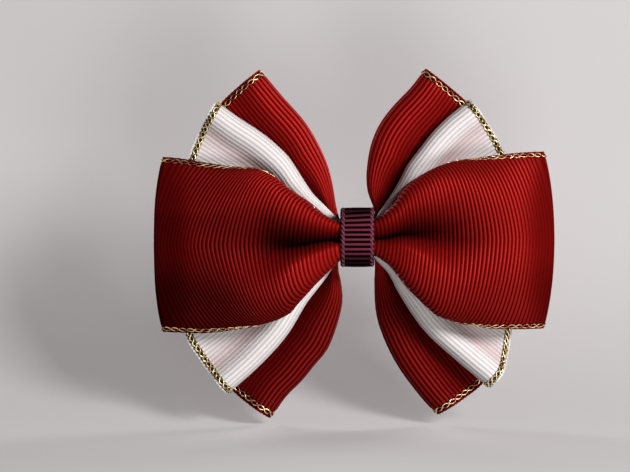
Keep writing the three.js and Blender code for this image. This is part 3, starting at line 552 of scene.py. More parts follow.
CURL_BACK = table([[0, 2.6], [4, 3.4], [9, 4.4], [14, 5.0], [20, 5.0], [26, 4.6], [34, 3.6], [42, 2.3], [47, 1.3]])
FOLD = table([[0, 2.0], [4, 4.0], [9, 6.0], [14, 6.7], [19, 5.8], [24, 4.0], [30, 2.1], [38, 0.7], [47, 0]])    # depth of the crease
FOLD_UP = table([[0, 0.5], [4, 0.44], [9, 0.4], [16, 0.38], [24, 0.44], [34, 0.58], [47, 0.7]])     # its upper slope is wide
FOLD_LO = table([[0, 0.14], [4, 0.12], [9, 0.11], [14, 0.14], [19, 0.24], [26, 0.4], [34, 0.52], [47, 0.7]])   # and its lower one steep
FOLD_P = table([[0, 2.0], [10, 2.3], [17, 2.3], [24, 2.2], [47, 2.6]])        # how hollow the slopes are; 1 is a straight V
FOLD_SOFT = table([[0, 0.01], [13, 0.012], [18, 0.04], [24, 0.11], [30, 0.18], [47, 0.25]])
POCKET_PAINTED_SHADE = {"left": table([[0, 0.6], [4, 0.85], [9, 0.96], [15, 0.97], [20, 0.84], [25, 0.5], [31, 0.2], [38, 0]]),      # painted shade in the crease, darkest where least light gets in
          "right": table([[0, 0.65], [4, 0.88], [9, 0.95], [14, 0.9], [20, 0.7], [26, 0.38], [32, 0.12], [38, 0]])}
POCKET_PAINTED_SHADE_W = {"left": table([[0, 0.13], [6, 0.15], [12, 0.22], [18, 0.27], [25, 0.3], [33, 0.36]]),
            "right": table([[0, 0.12], [6, 0.13], [12, 0.16], [18, 0.19], [25, 0.2], [33, 0.24]])}
OUTER_PAINTED_SHADE = {"left": 0.42, "right": 0.0}                      # painted shade on the outer left loop, which turns from the light
LOW_PAINTED_SHADE = {"left": 0.52, "right": 0.27}                        # and on the lower lobes, which turn from the sky
TURN_AT = math.radians(55)                                    # where the turn at the loop's end takes over
# how far each rib's ends lag behind its middle, beyond RIB_BOW, top and bottom
LAG = {
    ("left", 1): table([[0, 0], [8, 1.7], [16, 4.2], [24, 6.5], [31, 7.0], [38, 5.2], [44, 2.4], [50, 0]]),
    ("left", -1): table([[0, 0], [8, 2.4], [16, 5.4], [24, 8.0], [31, 8.6], [38, 6.4], [44, 2.9], [50, 0]]),
    ("right", 1): table([[0, 0], [9, 1.7], [19, 3.7], [27, 4.7], [34, 4.0], [41, 1.9], [50, 0]]),
    ("right", -1): table([[0, 0], [9, 1.2], [19, 2.2], [27, 2.8], [34, 2.0], [41, 0.6], [50, 0]]),
}


def loop_side(side, u, q):
    L, sgn = LOOP[side], (-1 if side == "left" else 1)
    u, q = np.broadcast_arrays(np.asarray(u, float), np.asarray(q, float))
    yf, yb = FRONT_Y[side](45.5), BACK_Y(40)
    r = (yb - yf) / (1 + math.cos(TURN_AT))
    rx = r * math.tan(TURN_AT) / END_SLOPE[side]
    ym, xc = yb - r, L["end"] - rx
    xf = xc + rx * math.sin(TURN_AT)
    t = np.clip((u - 0.45) / 0.15, 0, 1) * math.pi
    arc = TURN_AT + t * (math.pi - TURN_AT) / math.pi
    front, back = u < 0.45, u > 0.6
    a = np.where(front, u / 0.45 * xf, np.where(back, (1 - (u - 0.6) / 0.4) * xc, xc + np.sin(arc) * rx))
    y = np.where(front, FRONT_Y[side](a * 45.5 / xf), np.where(back, BACK_Y(a * 40 / xc), ym - np.cos(arc) * r))
    face = np.where(front, 1.0, np.where(back, 0.0, 0.5 + 0.5 * np.cos(t)))
    zc = L["crease"](a)
    h = np.where(q >= 0, L["top"](a), L["bottom"](a))
    k = np.abs(q)
    back_g = lerp(k, np.sin(k * math.pi / 2), ROUND(a) * 0.35)
    phi = np.radians(CURL(a))
    front_g = np.sin(k * phi) / np.sin(np.minimum(phi, math.pi / 2))
    g = lerp(back_g, front_g, smooth(face))
    narrow = lerp(0.93, 1, face)
    z = zc + (h - zc) * g * lerp(1, narrow, np.clip(1.4 - a / 30, 0, 1))
    w, D = VALLEY_W(a), PLEAT(a)
    depth = np.where(face > 0.5, D * lerp(0.3, 1, face * 2 - 1), D * lerp(-0.08, 0.3, face * 2))
    valley = np.exp(-(q * q) / (w * w)) * np.clip(1.25 - a / 38, 0.1, 1) * depth
    fw, fp = np.where(q >= 0, FOLD_UP(a), FOLD_LO(a)), FOLD_P(a)
    soft = FOLD_SOFT(a)
    kk = np.sqrt(k * k + soft * soft) - soft
    crease = FOLD(a) * np.clip(1 - kk / fw, 0, 1) ** fp
    valley = lerp(valley, crease, smooth(face))
    old = EDGE_BACK(a) * smooth((k - 0.45) / 0.55) * depth
    past = np.clip((k - 0.27) / 0.73, 0, 1) * phi
    new = CURL_BACK(a) * (1 - np.cos(past)) / (1 - np.cos(phi))
    bow = RIB_BOW(a) * k ** 1.8
    x = np.maximum(0, a - bow * smooth(a / 6))
    return np.stack([x, y + valley + lerp(old, new, smooth(face)), z], -1), a


def loop_surface(tau, q):
    """tau: -1 back of the knot, round the left end, 0 front of the knot, round the right end, 1 back of the knot."""
    tau, q = np.broadcast_arrays(np.asarray(tau, float), np.asarray(q, float))
    wrap = np.where(tau > 1, tau - 2, np.where(tau < -1, tau + 2, tau))
    u = np.abs(wrap)
    flat_a = np.minimum(u / 0.45 * 40.4, 50)
    k = np.abs(q) ** 1.45
    lag = lambda side: np.where(q >= 0, LAG[side, 1](flat_a), LAG[side, -1](flat_a)) * k * 0.0111
    Lp, la = loop_side("left", u - lag("left"), q)
    Rp, ra = loop_side("right", u - lag("right"), q)
    side = np.where(wrap < 0, -1.0, 1.0)
    own, other, a = np.where((wrap < 0)[..., None], Lp, Rp), np.where((wrap < 0)[..., None], Rp, Lp), np.where(wrap < 0, la, ra)
    m = (0.5 + 0.5 * smooth(a / 3.2))[..., None]
    P = own * m + other * (1 - m)
    P[..., 0] = own[..., 0] * side
    lap = 0.3 * smooth((np.abs(tau) - 0.94) / 0.05) * np.sign(tau)
    P[..., 1] -= lap
    return P


def stations(fn, lo, hi, qs, pitch, lap=0.0):
    """Parameter values along a ribbon at rib samples of its own mean length."""
    t = np.linspace(lo, hi, 2401)
    G = fn(t[:, None], np.asarray(qs)[None, :])
    L = np.concatenate([[0], np.cumsum(np.linalg.norm(np.diff(G, axis=0), axis=-1).mean(1))])
    s, h, p = rib_stations(L[-1], pitch)
    return np.interp(s, L, t), s, h, p


RIB_PITCH = 0.96
ROWS = 38
W = across(40.0, ROWS)
W_LOOP = np.concatenate([W[:8], 20 + 20 * np.array([-0.8, -0.71, -0.61, -0.5, -0.4, -0.3, -0.22, -0.155, -0.11, -0.075, -0.045, -0.02,
                                                    0.0, 0.03, 0.07, 0.13, 0.2, 0.29, 0.39, 0.5, 0.61, 0.71, 0.8]), W[-8:]])


def build_loop():
    tau, s, h, p = stations(loop_surface, -1.016, 1.016, [-0.8, -0.4, 0.0, 0.4, 0.8], RIB_PITCH)
    q = W_LOOP / 20 - 1
    P = loop_surface(tau[:, None], q[None, :])
    N = grid_normals(P)
    away = smooth((np.abs(P[..., 0]) - 6) / 12)
    P = P + N * (ripple(s[:, None], W_LOOP[None, :], 3, 0.16) * away)[..., None]
    # painted shade: the crease, the loop ends, the lower lobes and the outer left loop are darkened in the colour; near
    # the knot and round the ends the ribs lie lower and are evened to a plain colour, partly painted shade
    a, k = np.abs(P[..., 0]), np.abs(q)[None, :]
    front = (np.abs(tau) < 0.45)[:, None]
    shade = np.ones(a.shape)
    for side, here in (("left", P[..., 0] < 0), ("right", P[..., 0] >= 0)):
        reach = np.where(q[None, :] >= 0, POCKET_PAINTED_SHADE_W[side](a), 0.3 * FOLD_LO(a))
        painted_shade = np.where(front, 1 - POCKET_PAINTED_SHADE[side](a) * np.exp(-(k / reach) ** 2), 1.0)
        painted_shade = painted_shade * (1 - LOW_PAINTED_SHADE[side] * smooth((-q[None, :] - 0.05) / 0.5) * smooth((a - 8) / 10)) * (1 - 0.25 * smooth((a - 36) / 8)) * (1 - OUTER_PAINTED_SHADE[side] * smooth((a - 20) / 12) * np.where(q < 0.3, 1.0, 0.6)[None, :])
        shade = np.where(here, painted_shade, shade)
    calm = 0.9 * smooth((a + 3.0 * (1 - k ** 2) - 38) / 6) + 0.42 * smooth((17 - a) / 10)
    ob, N = ribbon("front_loop_ribbon", P, h, s, W_LOOP, p, RED, "bow", ["front_loop"], shade=shade, calm=calm)
    lift = 0.27
    keep = slice(6, -6)
    for nm, at, node in (("front_loop_chain_bottom", SELV + CHAIN_W / 2, "front_loop_gold_bottom"),
                         ("front_loop_chain_top", 40 - SELV - CHAIN_W / 2, "front_loop_gold_top")):
        paths = [chain_path(P[keep], N[keep] * f, W_LOOP, at, lift) for f in (1, -1)]
        chains(nm, paths, GOLD_RED, "bow", [node])


# ------------------------------------------------------------------ petal fans
FANS = {
    "red_fan_left": dict(side=-1, ref=45, y0=table([[0, -3.9], [0.3, -4.1], [1, -4.4]]), roll="wide", bulge=0.15,
        upper=[[-0.7, 2.7], [-3.0, 3.1], [-3.95, 3.8], [-4.9, 7.0], [-6.04, 13.09], [-7.41, 17.65], [-11.52, 25.41], [-17.22, 32.02], [-22.3, 38.1]],
        lower=[[-0.7, -2.7], [-3.0, -3.1], [-3.95, -3.8], [-4.5, -6.9], [-3.9, -10], [-3.54, -14.28], [-4.45, -18.84], [-6.96, -25.46], [-9.92, -29.11], [-12.89, -32.76], [-16.08, -35.9], [-19.9, -41.2]],
        outer=[[-22.3, 38.1], [-27, 34.3], [-31.4, 30.0], [-34.2, 24.6], [-37.2, 17], [-40.2, 8], [-41.2, 0], [-40.4, -10], [-37.5, -20], [-33.5, -28.6], [-28.6, -34.8], [-24.4, -38.2], [-19.9, -41.2]]),
    "red_fan_right": dict(side=1, ref=45, y0=table([[0, -3.9], [0.3, -4.1], [1, -4.4]]), roll="wide", bulge=0.15,
        upper=[[0.7, 2.7], [3.0, 3.1], [3.95, 3.8], [4.2, 6.2], [3.6, 7.9], [2.7, 10.4], [2.39, 14.0], [3.31, 20.85], [5.13, 25.41], [8.1, 29.51], [12.43, 34.07], [15.7, 38.4]],
        lower=[[0.7, -2.7], [3.0, -3.1], [3.95, -3.8], [4.3, -7.0], [4.2, -9.8], [4.68, -17.7], [6.5, -23.4], [9.69, -29.56], [15.17, -36.86], [18.5, -40.4]],
        outer=[[15.7, 38.4], [20.6, 34.6], [25.2, 30.6], [28.1, 26.6], [31.0, 22.0], [33.4, 16.5], [36.6, 8], [37.6, 0], [37.2, -10], [35, -19], [32.4, -27], [28.8, -33.3], [23.7, -37.2], [18.5, -40.4]]),
    "white_fan_left": dict(side=-1, ref=32, y0=table([[0, -6.7], [0.3, -7.2], [0.6, -7.7], [1, -7.9]]), roll="narrow", bulge=0.7,
        upper=[[-0.7, 2.6], [-3.0, 3.0], [-4.3, 4.0], [-7.49, 7.26], [-10.1, 9.87], [-12.83, 13.94], [-15.69, 18.3], [-18.8, 21.38], [-22.14, 24.04], [-26.9, 27.13], [-32.1, 30.9]],
        lower=[[-0.7, -2.7], [-3.0, -3.3], [-4.4, -4.9], [-7.38, -9.33], [-11.47, -14.6], [-16.01, -22.05], [-22.14, -28.86], [-29.5, -35.4]],
        outer=[[-32.1, 30.9], [-34.62, 26.31], [-36.67, 22.22], [-38.48, 17.46], [-40.8, 9], [-41.5, 0], [-40.8, -11], [-38.94, -22.39], [-35.98, -27.27], [-33.03, -31.35], [-29.5, -35.4]]),
    "white_fan_right": dict(side=1, ref=32, y0=table([[0, -6.7], [0.3, -7.2], [0.6, -7.7], [1, -7.9]]), roll="narrow", bulge=0.7,
        upper=[[0.7, 2.6], [3.0, 3.0], [4.1, 4.2], [5.45, 6.24], [7.54, 9.19], [9.79, 13.01], [11.53, 16.48], [14.12, 19.95], [17.14, 23.81], [20.55, 27.22], [25.7, 31.3]],
        lower=[[0.7, -2.7], [3.0, -3.3], [4.2, -4.8], [7.15, -7.9], [9.65, -12.6], [15.32, -20.91], [22.14, -27.27], [30.2, -34.0]],
        outer=[[25.7, 31.3], [28.95, 27.22], [31.67, 22.91], [33.71, 18.82], [36.8, 10], [37.9, 0], [37.4, -10], [35.2, -20.91], [34.5, -26], [33.2, -30.6], [30.2, -34.0]]),
}
# section of the rounded fold: inwards from the fold edge, forwards
ROLLS = {
    "narrow": [[0, 0], [0.2, 1.0], [0.9, 2.05], [2.1, 2.7], [3.4, 2.6], [4.6, 1.9], [5.7, 1.0], [6.8, 0.35], [8.2, 0.05]],
    "wide": [[0, 0], [0.25, 1.0], [1.1, 1.95], [2.6, 2.5], [4.2, 2.45], [6.0, 1.75], [8.0, 0.85], [9.6, 0.3], [11.1, 0.05]],
}


class Fan:
    def __init__(self, F):
        self.F = F
        self.U, self.L, self.E = Curve(F["upper"]), Curve(F["lower"]), Curve(F["outer"])
        R = ROLLS[F["roll"]]
        sec = Curve(R)
        fr = np.linspace(0, 1, 60)
        q = sec.at(fr)
        self.rollT = lambda v: np.interp(v, fr * sec.length, q[:, 0])
        self.rollD = lambda v: np.interp(v, fr * sec.length, q[:, 1])
        self.sRoll, self.tRoll = float(sec.length), float(R[-1][0])
        self.stretch = self.E.length / self.chord(1.0)
        self.front = float(self.E.length + 2 * (self.sRoll - self.tRoll))
        self.back = float(self.E.length)
    def chord(self, r):
        return np.linalg.norm((self.U.at(r) - self.L.at(r))[..., :2], axis=-1)
    def plan(self, f, r):
        K0, K1 = np.array(self.F["upper"][0] + [0.0]), np.array(self.F["lower"][0] + [0.0])
        f_, r_ = f[..., None], r[..., None]
        kk = K0 + (K1 - K0) * f_
        e0, e1 = self.E.at(0.0), self.E.at(1.0)
        c = (1 - f_) * (1 - r_) * K0 + f_ * (1 - r_) * K1 + (1 - f_) * r_ * e0 + f_ * r_ * e1
        return (1 - f_) * self.U.at(r) + f_ * self.L.at(r) + (1 - r_) * kk + r_ * self.E.at(f) - c
    def point(self, s, r):
        """s: 0 upper fold, along the front to the lower fold, then along the back to the upper fold again."""
        F, front, sRoll, tRoll = self.F, self.front, self.sRoll, self.tRoll
        s, r = np.broadcast_arrays(np.asarray(s, float), np.asarray(r, float))
        s = np.mod(s, front + self.back)
        k = np.minimum(1, self.chord(r) / F["ref"])
        T = self.chord(r) * lerp(1, self.stretch, r * r)
        # front layer
        sf = np.clip(s, 0, front)
        edge = np.minimum(sf, front - sf)
        inroll = edge < sRoll
        t = np.where(inroll, self.rollT(edge) * k, lerp(tRoll * k, T / 2, (edge - sRoll) / (front / 2 - sRoll)))
        d = np.where(inroll, self.rollD(edge) * k, 0.05 * k)
        mid = smooth((edge - sRoll * 0.8) / (front / 2 - sRoll * 0.8))
        d = d + 0.5 * (1 - np.exp(-edge / 0.8)) + F["bulge"] * mid * np.sin(math.pi * np.minimum(1, 0.25 + r * 0.75)) + 0.3 * mid * F["bulge"]
        f = t / T
        f = np.where(sf > front / 2, 1 - f, f)
        A = self.plan(f, r)
        yA = F["y0"](r) - d
        # back layer
        fb = np.clip((s - front) / self.back, 0, 1)
        eb = np.minimum(fb, 1 - fb) * T
        B = self.plan(1 - fb, r - 0.03 * smooth((r - 0.78) / 0.22) * smooth(eb / 3.5))
        yB = F["y0"](r) + (0.45 + 0.45 * k) * (1 - np.exp(-eb / 0.7))
        isf = s < front
        x = np.where(isf, A[..., 0], B[..., 0])
        z = np.where(isf, A[..., 1], B[..., 1])
        return np.stack([x, np.where(isf, yA, yB), z], -1)


def build_fan(name, seed):
    F = FANS[name]
    S = Fan(F)
    red = name.startswith("red")
    total = S.front + S.back
    seam = S.front + S.back * 0.5                       # the ends lap in the middle of the back layer
    s0 = seam - 1.6
    n = int(round((total + 3.2) / RIB_PITCH))
    ss, h, p = rib_stations(total + 3.2, RIB_PITCH)
    s = s0 + ss
    r = W / 40.0
    P = S.point(s[:, None], r[None, :])
    N = grid_normals(P)
    # lapped ends, one over the other
    lap = 0.3 * smooth((4.5 - ss) / 3) - 0.3 * smooth((ss - (total + 3.2 - 4.5)) / 3)
    P[..., 1] += lap[:, None]
    # gathers that run out of the knot, and the ribbon's own slackness
    sm = np.mod(s, total)
    front = sm < S.front
    ph = np.where(front, sm / S.front, (sm - S.front) / S.back)
    cnt = 11 if red else 8
    gather = np.cos(2 * math.pi * (cnt * ph + 0.15 * np.sin(5 * ph + seed)))
    edge = np.where(front, np.minimum(sm, S.front - sm), np.minimum(sm - S.front, total - sm))
    calm = smooth((edge - 2.0) / 5.0)
    reach = smooth((0.62 - r) / 0.5) * smooth((r - 0.09) / 0.08)
    slack = smooth((r - 0.25) / 0.4)
    amp_g = 0.2 if red else 0.16
    P = P + N * (amp_g * (gather * calm)[:, None] * reach[None, :] + ripple(s[:, None], W[None, :], seed, 0.14) * slack[None, :] * calm[:, None])[..., None]
    # painted shade: beside each rounded fold the colour is darkened, most of all near the knot, pink on the white
    # ribbon as a painted red bounce, and there the ribs are evened out
    at = edge - S.sRoll * (0.72 if red else 0.8)
    at = np.where(at < 0, at / (2.6 if red else 1.5), at / (5.0 if red else 4.3))
    painted_hollow_shade = np.where(front, np.exp(-at * at), 0.0)[:, None] * ((0.4 if red else 0.42) + (0.5 if red else 0.58) * smooth((0.88 - r) / 0.62))[None, :]
    shade = 1 - (0.34 if red else 0.82) * painted_hollow_shade
    if red:
        shade = shade * (1 - 0.46 * smooth((-P[..., 2] - 4) / 12))      # painted shade: the lower leaves are darkened as they face away from the light
    calm = (np.minimum(painted_hollow_shade * 1.25, 1) if red else 0.25 + 0.4 * painted_hollow_shade) * (W < 40 - SELV - CHAIN_W - 0.2)[None, :]
    ob, N = ribbon(name + "_ribbon", P, h, ss, W, p, RED if red else WHITE, "bow", [name],
                   chain_rows=(False, True), relief=0.19 if red else 0.11, shade=shade, calm=calm)
    at = 40 - SELV - CHAIN_W / 2
    keep = slice(6, -6)
    paths = [chain_path(P[keep], N[keep] * f, W, at, 0.27) for f in (1, -1)]
    chains(name + "_chain", paths, GOLD_RED if red else GOLD_WHITE, "bow", [name + "_gold"], link=1.85 if red else 1.4,
           amp=0.44 if red else 0.47, r=0.165 if red else 0.185)


build_loop()
for i, nm in enumerate(FANS):
    build_fan(nm, 11 + i)

# ------------------------------------------------------------------ centre wrap
WRAP_OUT = [[0, -4.5], [0, -1.3], [0, 4.5], [-0.35, 4.95], [-0.95, 5.15], [-14.0, 6.95], [-14.95, 6.7], [-15.55, 6.0], [-15.9, 4.4], [-15.98, -2.2], [-15.8, -3.9], [-15.3, -5.1], [-14.5, -5.9], [-13.6, -6.25], [-0.95, -5.15], [-0.35, -4.95]]


def round_path(pts, radius, step=0.05):
    """Closed polygon in (Y, Z) with its corners rounded, resampled evenly."""
    pts = [np.array(p, float) for p in pts]
    out = []
    n = len(pts)
    for i in range(n):
        a, b, c = pts[i - 1], pts[i], pts[(i + 1) % n]
        la, lc = np.linalg.norm(a - b), np.linalg.norm(c - b)
        d = min(radius, la * 0.45, lc * 0.45)
        p0, p2 = b + (a - b) / la * d, b + (c - b) / lc * d
        for t in np.linspace(0, 1, 7):
            out.append((1 - t) ** 2 * p0 + 2 * t * (1 - t) * b + t * t * p2)
    out.append(out[0])
    out = np.array(out)
    s = np.concatenate([[0], np.cumsum(np.linalg.norm(np.diff(out, axis=0), axis=1))])
    return out, s


def build_wrap():
    path, sl = round_path(WRAP_OUT, 0.7)
    total = sl[-1]
    width, pitch = 7.5, 1.09
    # starts and ends lapped on the rear run, one end over the other
    s, h, p = rib_stations(total + 3.0, pitch)
    rear = -1.0
    at = np.mod(s + rear, total)
    C = np.stack([np.interp(at, sl, path[:, 0]), np.interp(at, sl, path[:, 1])], -1)
    w = np.array([0, 0.12, 0.4, 0.8, 1.1, 1.35] + list(np.linspace(1.35, 6.15, 12)[1:-1]) + [6.15, 6.4, 6.7, 7.1, 7.38, 7.5])
    T = np.gradient(C, axis=0)
    T /= np.linalg.norm(T, axis=-1, keepdims=True)
    nrm = np.stack([T[:, 1], -T[:, 0]], -1)
    cen = path[:-1].mean(0)
    if np.mean(np.sum(nrm * (C - cen), -1)) < 0:
        nrm = -nrm
    inset = 0.27 + 0.36 * smooth((3.6 - s) / 1.4)
    P = np.zeros((len(s), len(w), 3))
    crown = 0.12 * (1 - ((w - width / 2) / (width / 2)) ** 2)
    tilt = 0.16 * (w / width - 0.5)                       # the upper ribs run a little askew
    for j, ww in enumerate(w):
        k = C - nrm * (inset - crown[j])[:, None]
        top = np.exp(-((C[:, 1] - 5.5) / 2.2) ** 2) * (C[:, 0] < -14)
        P[:, j, 0] = ww - width / 2
        P[:, j, 1] = k[:, 0]
        P[:, j, 2] = k[:, 1] + tilt[j] * 2.6 * top
    P[..., 1] = np.minimum(P[..., 1], -0.2)
    edge = np.minimum(w, width - w)
    # painted shade: the wrap's colour darkens to near-black towards its top and bottom edges, where it turns from the
    # light
    ob, N = ribbon("centre_wrap_ribbon", P, h, s, w, p, BURGUNDY, "bow", ["centre_wrap"],
                   core=0.1, relief=0.24, chain_rows=(False, False), width=width,
                   shade=np.clip(0.12 + 0.88 * smooth((P[..., 2] + 5.4) / 3.2) * smooth((6.9 - P[..., 2]) / 3.0), 0, 1))
    # twisted cords that edge the narrow ribbon
    sign = 1.0 if np.mean(np.sum(N[:, 8, 1:] * (nrm), -1)) > 0 else -1.0
    paths = []
    keep = slice(20, -20)
    for atw in (0.55, width - 0.55):
        Cc, n, c, k = chain_path(P[keep], N[keep] * sign, w, atw, 0.14)
        paths.append((Cc, n, c, np.ones(len(Cc))))
    v, f, t, b = [], [], [], 0
    for Cc, n, c, k in paths:
        V, F, Tn = chain(Cc, n, c, k, link=1.09, amp=0.26, r=0.2, per=8, over=0.1)
        v.append(V); f.append(F + b); t.append(Tn); b += len(V)
    V = np.concatenate(v)
    V[:, 1] = np.minimum(V[:, 1], -0.01)
    make_mesh("centre_wrap_cords", V, np.concatenate(f), CORD, "bow", (), {"tone": np.concatenate(t)})


build_wrap()

# ------------------------------------------------------------------ binding threads
def catmull(pts, step=0.12):
    c = Curve(pts, 24)
    n = max(8, int(c.length / step))
    return c.at(np.linspace(0, 1, n)), c.length


def twisted(name, pts, r, lay, mat, body, replaces):
    """Two-ply thread along a path."""
    p, L = catmull(pts)
    s = np.linspace(0, L, len(p))
    T = np.gradient(p, axis=0)
    T /= np.linalg.norm(T, axis=-1, keepdims=True)
    N = np.cross(T, np.array([1.0, 0, 0]))
    N /= np.maximum(np.linalg.norm(N, axis=-1, keepdims=True), 1e-6)
    B = np.cross(T, N)
    v, f, t, ends, base = [], [], [], [], 0
    for k in range(2):
        a = 2 * math.pi * s / lay + math.pi * k
        q = p + (N * np.cos(a)[:, None] + B * np.sin(a)[:, None]) * r * 0.48
        V, F, tri = tube(q, r * 0.56, 8)
        # caps from the tube's end triangles
        v.append(V); f.append(F + base); ends.append(tri + base)
        t.append(np.full(len(V), float(k)))
        base += len(V)
    return tris_and_quads_attr(name, np.concatenate(v), np.concatenate(f), np.concatenate(ends), mat, body, replaces, {"tone": np.concatenate(t)})


def tris_and_quads_attr(name, V, F, tris, mat, body, replaces, attrs=None):
    ob = tris_and_quads(name, V, F, tris, mat, body, replaces)
    for key, val in (attrs or {}).items():
        a = ob.data.attributes.new(key, "FLOAT", "POINT")
        a.data.foreach_set("value", np.asarray(val, np.float32)[:len(ob.data.vertices)])
    return ob


def winding(y0, y1, z0, z1, x0, pitch, turns):
    c = 0.7
    loop = [[y0 + c, z0], [(y0 + y1) / 2, z0], [y1 - c, z0], [y1, z0 + c], [y1, (z0 + z1) / 2], [y1, z1 - c], [y1 - c, z1],
            [(y0 + y1) / 2, z1], [y0 + c, z1], [y0, z1 - c], [y0, (z0 + z1) / 2], [y0, z0 + c]]
    return [[x0 + pitch * i / len(loop), *loop[i % len(loop)]] for i in range(turns * len(loop) - 2)]


twisted("front_loop_binding", winding(-14.85, -8.95, -4.6, 4.3, -0.55, 0.5, 3), 0.17, 0.9, THREAD, "bow", ["front_loop_thread"])
twisted("left_fan_binding", winding(-8.55, -2.75, -3.95, 3.9, -2.75, 0.45, 2), 0.16, 0.9, THREAD, "bow", ["left_fan_thread"])
twisted("right_fan_binding", winding(-8.55, -2.75, -3.95, 3.9, 1.95, 0.45, 2), 0.16, 0.9, THREAD, "bow", ["right_fan_thread"])

# ------------------------------------------------------------------ glue
def blob(name, cx, cy, cz, ax, ay, az, power, seed, rough, replaces):
    """Squashed bead of set glue: a superellipsoid with a slightly uneven skin."""
    u = np.linspace(0, 2 * math.pi, 64, endpoint=False)
    v = np.linspace(-math.pi / 2, math.pi / 2, 26)[1:-1]
    sg = lambda a, e: np.sign(a) * np.abs(a) ** e
    U, V = np.meshgrid(u, v, indexing="ij")
    e = power
    x = ax * sg(np.cos(V), 0.6) * sg(np.cos(U), e)
    z = az * sg(np.cos(V), 0.6) * sg(np.sin(U), e)
    y = ay * sg(np.sin(V), 0.6)
    wob = 1 + rough * (np.sin(3 * U + seed) * 0.5 + np.sin(5 * U + 2 * seed) * 0.3 + np.sin(2 * U - seed) * 0.2)
    x, z = x * wob, z * wob
    P = np.stack([cx + x, cy + y, cz + z], -1)
    n, m = P.shape[:2]
    verts = np.vstack([P.reshape(-1, 3), [[cx, cy - ay, cz], [cx, cy + ay, cz]]])
    F = grid_faces(n, m, closed_u=True)
    k = np.arange(n)
    lo = np.stack([np.full(n, n * m), k * m, ((k + 1) % n) * m], -1)
    hi = np.stack([np.full(n, n * m + 1), ((k + 1) % n) * m + m - 1, k * m + m - 1], -1)
    return tris_and_quads(name, verts, F, np.vstack([lo, hi]), GLUE, "bow", replaces)


blob("knot_glue_bead", 0, -2.06, 0, 6.4, 0.31, 3.1, 0.75, 1.3, 0.03, ["knot_glue_pad"])
blob("wrap_glue_bead", 0, -0.675, 0, 2.5, 0.065, 2.6, 0.8, 2.1, 0.04, ["wrap_glue_dab"])

# ------------------------------------------------------------------ clip
PIN_X, PIN_Y, COIL_R, WIRE_R = 14.0, 1.6, 1.3, 0.3


def spring_wire():
    z0, z1, turns = -1.55, 1.55, 3.5
    base = [[25.5, -0.36, z0], [22, -0.36, z0], [18, -0.3, z0], [15.5, 0.2, z0]]
    coil = []
    n = int(turns * 24)
    for i in range(n + 1):
        f = i / n
        a = -math.pi / 2 - f * turns * 2 * math.pi
        coil.append([PIN_X + COIL_R * math.cos(a), PIN_Y + COIL_R * math.sin(a), lerp(z0 + 0.1, z1 - 0.1, f)])
    lever = [[15.6, 3.1, z1], [18, 3.75, z1], [21.3, 5.2, z1], [25.5, 7.4, z1]]
    return base, coil, lever


def rev(name, profile, x, y, mat, body, replaces, seg=48):
    """Solid of revolution about an axis parallel to Z through (x, y)."""
    pr = np.array(profile, float)
    a = np.linspace(0, 2 * math.pi, seg, endpoint=False)
    V = np.stack([x + pr[None, :, 0] * np.cos(a)[:, None], y + pr[None, :, 0] * np.sin(a)[:, None], np.broadcast_to(pr[None, :, 1], (seg, len(pr)))], -1)
    m = len(pr)
    F = grid_faces(seg, m, closed_u=True)
    verts = np.vstack([V.reshape(-1, 3), [[x, y, pr[0, 1]], [x, y, pr[-1, 1]]]])
    k = np.arange(seg)
    lo = np.stack([np.full(seg, seg * m), k * m, ((k + 1) % seg) * m], -1)[:, ::-1]
    hi = np.stack([np.full(seg, seg * m + 1), ((k + 1) % seg) * m + m - 1, k * m + m - 1], -1)[:, ::-1]
    return tris_and_quads(name, verts, F, np.vstack([lo, hi]), mat, body, replaces)


base, coil, lever = spring_wire()
p, _ = catmull(base + coil + [[PIN_X + 0.7, 3.0, 1.5]], 0.1)
V, F, tri = tube(p, WIRE_R, 12)
tris_and_quads("clip_spring_coil", V, F, tri, SPRING, "bow", ["clip_torsion_spring"])
p, _ = catmull([coil[-1]] + lever, 0.2)
V, F, tri = tube(p, WIRE_R, 12)
tris_and_quads("clip_spring_lever_leg", V, F, tri, SPRING, "clip_jaw")
e = 4.15
dome = [[1.3 * math.cos(t), e + 0.12 + 0.42 * math.sin(t)] for t in np.linspace(0, math.pi / 2 * 0.97, 8)]
prof = [[r, -z] for r, z in reversed(dome)] + [[1.3, -e], [0.75, -e], [0.75, e], [1.3, e]] + dome
rev("clip_hinge_rivet", prof, PIN_X, PIN_Y, STEEL, "bow", ["clip_hinge_pin"])
for node in ("clip_base_jaw", "clip_lever_jaw"):
    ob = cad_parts[node]
    ob.data.materials.clear()
    ob.data.materials.append(STEEL)
    bev = ob.modifiers.new("edge", "BEVEL")
    bev.width = 0.00016
    bev.segments = 2
    bev.limit_method = "ANGLE"
    bev.angle_limit = math.radians(35)
    wn = ob.modifiers.new("shade", "WEIGHTED_NORMAL")
    wn.keep_sharp = True
    for f in ob.data.polygons:
        f.use_smooth = True

# ------------------------------------------------------------------ stage, light, camera
def stage_material():
    m = Nodes("pale_backdrop_cloth")
    oc = m.object_coords()
    n = m.noise(oc, 6, 3)
    m.set(Base_Color=m.mix(m.remap(n, 0.3, 0.7), (0.44, 0.425, 0.422), (0.46, 0.445, 0.442)), Roughness=0.95, Emission_Color=(1.0, 0.965, 0.96), Emission_Strength=0.2)
    # seen from behind the sheet isn't there, so that the rear of the bow shows too
    mix, clear = m.new("ShaderNodeMixShader"), m.new("ShaderNodeBsdfTransparent")
    m.link(m.new("ShaderNodeNewGeometry").outputs["Backfacing"], mix.inputs[0])
    m.link(m.b.outputs[0], mix.inputs[1])
    m.link(clear.outputs[0], mix.inputs[2])
    m.link(mix.outputs[0], m.t.nodes["Material Output"].inputs["Surface"])
    return m.mat


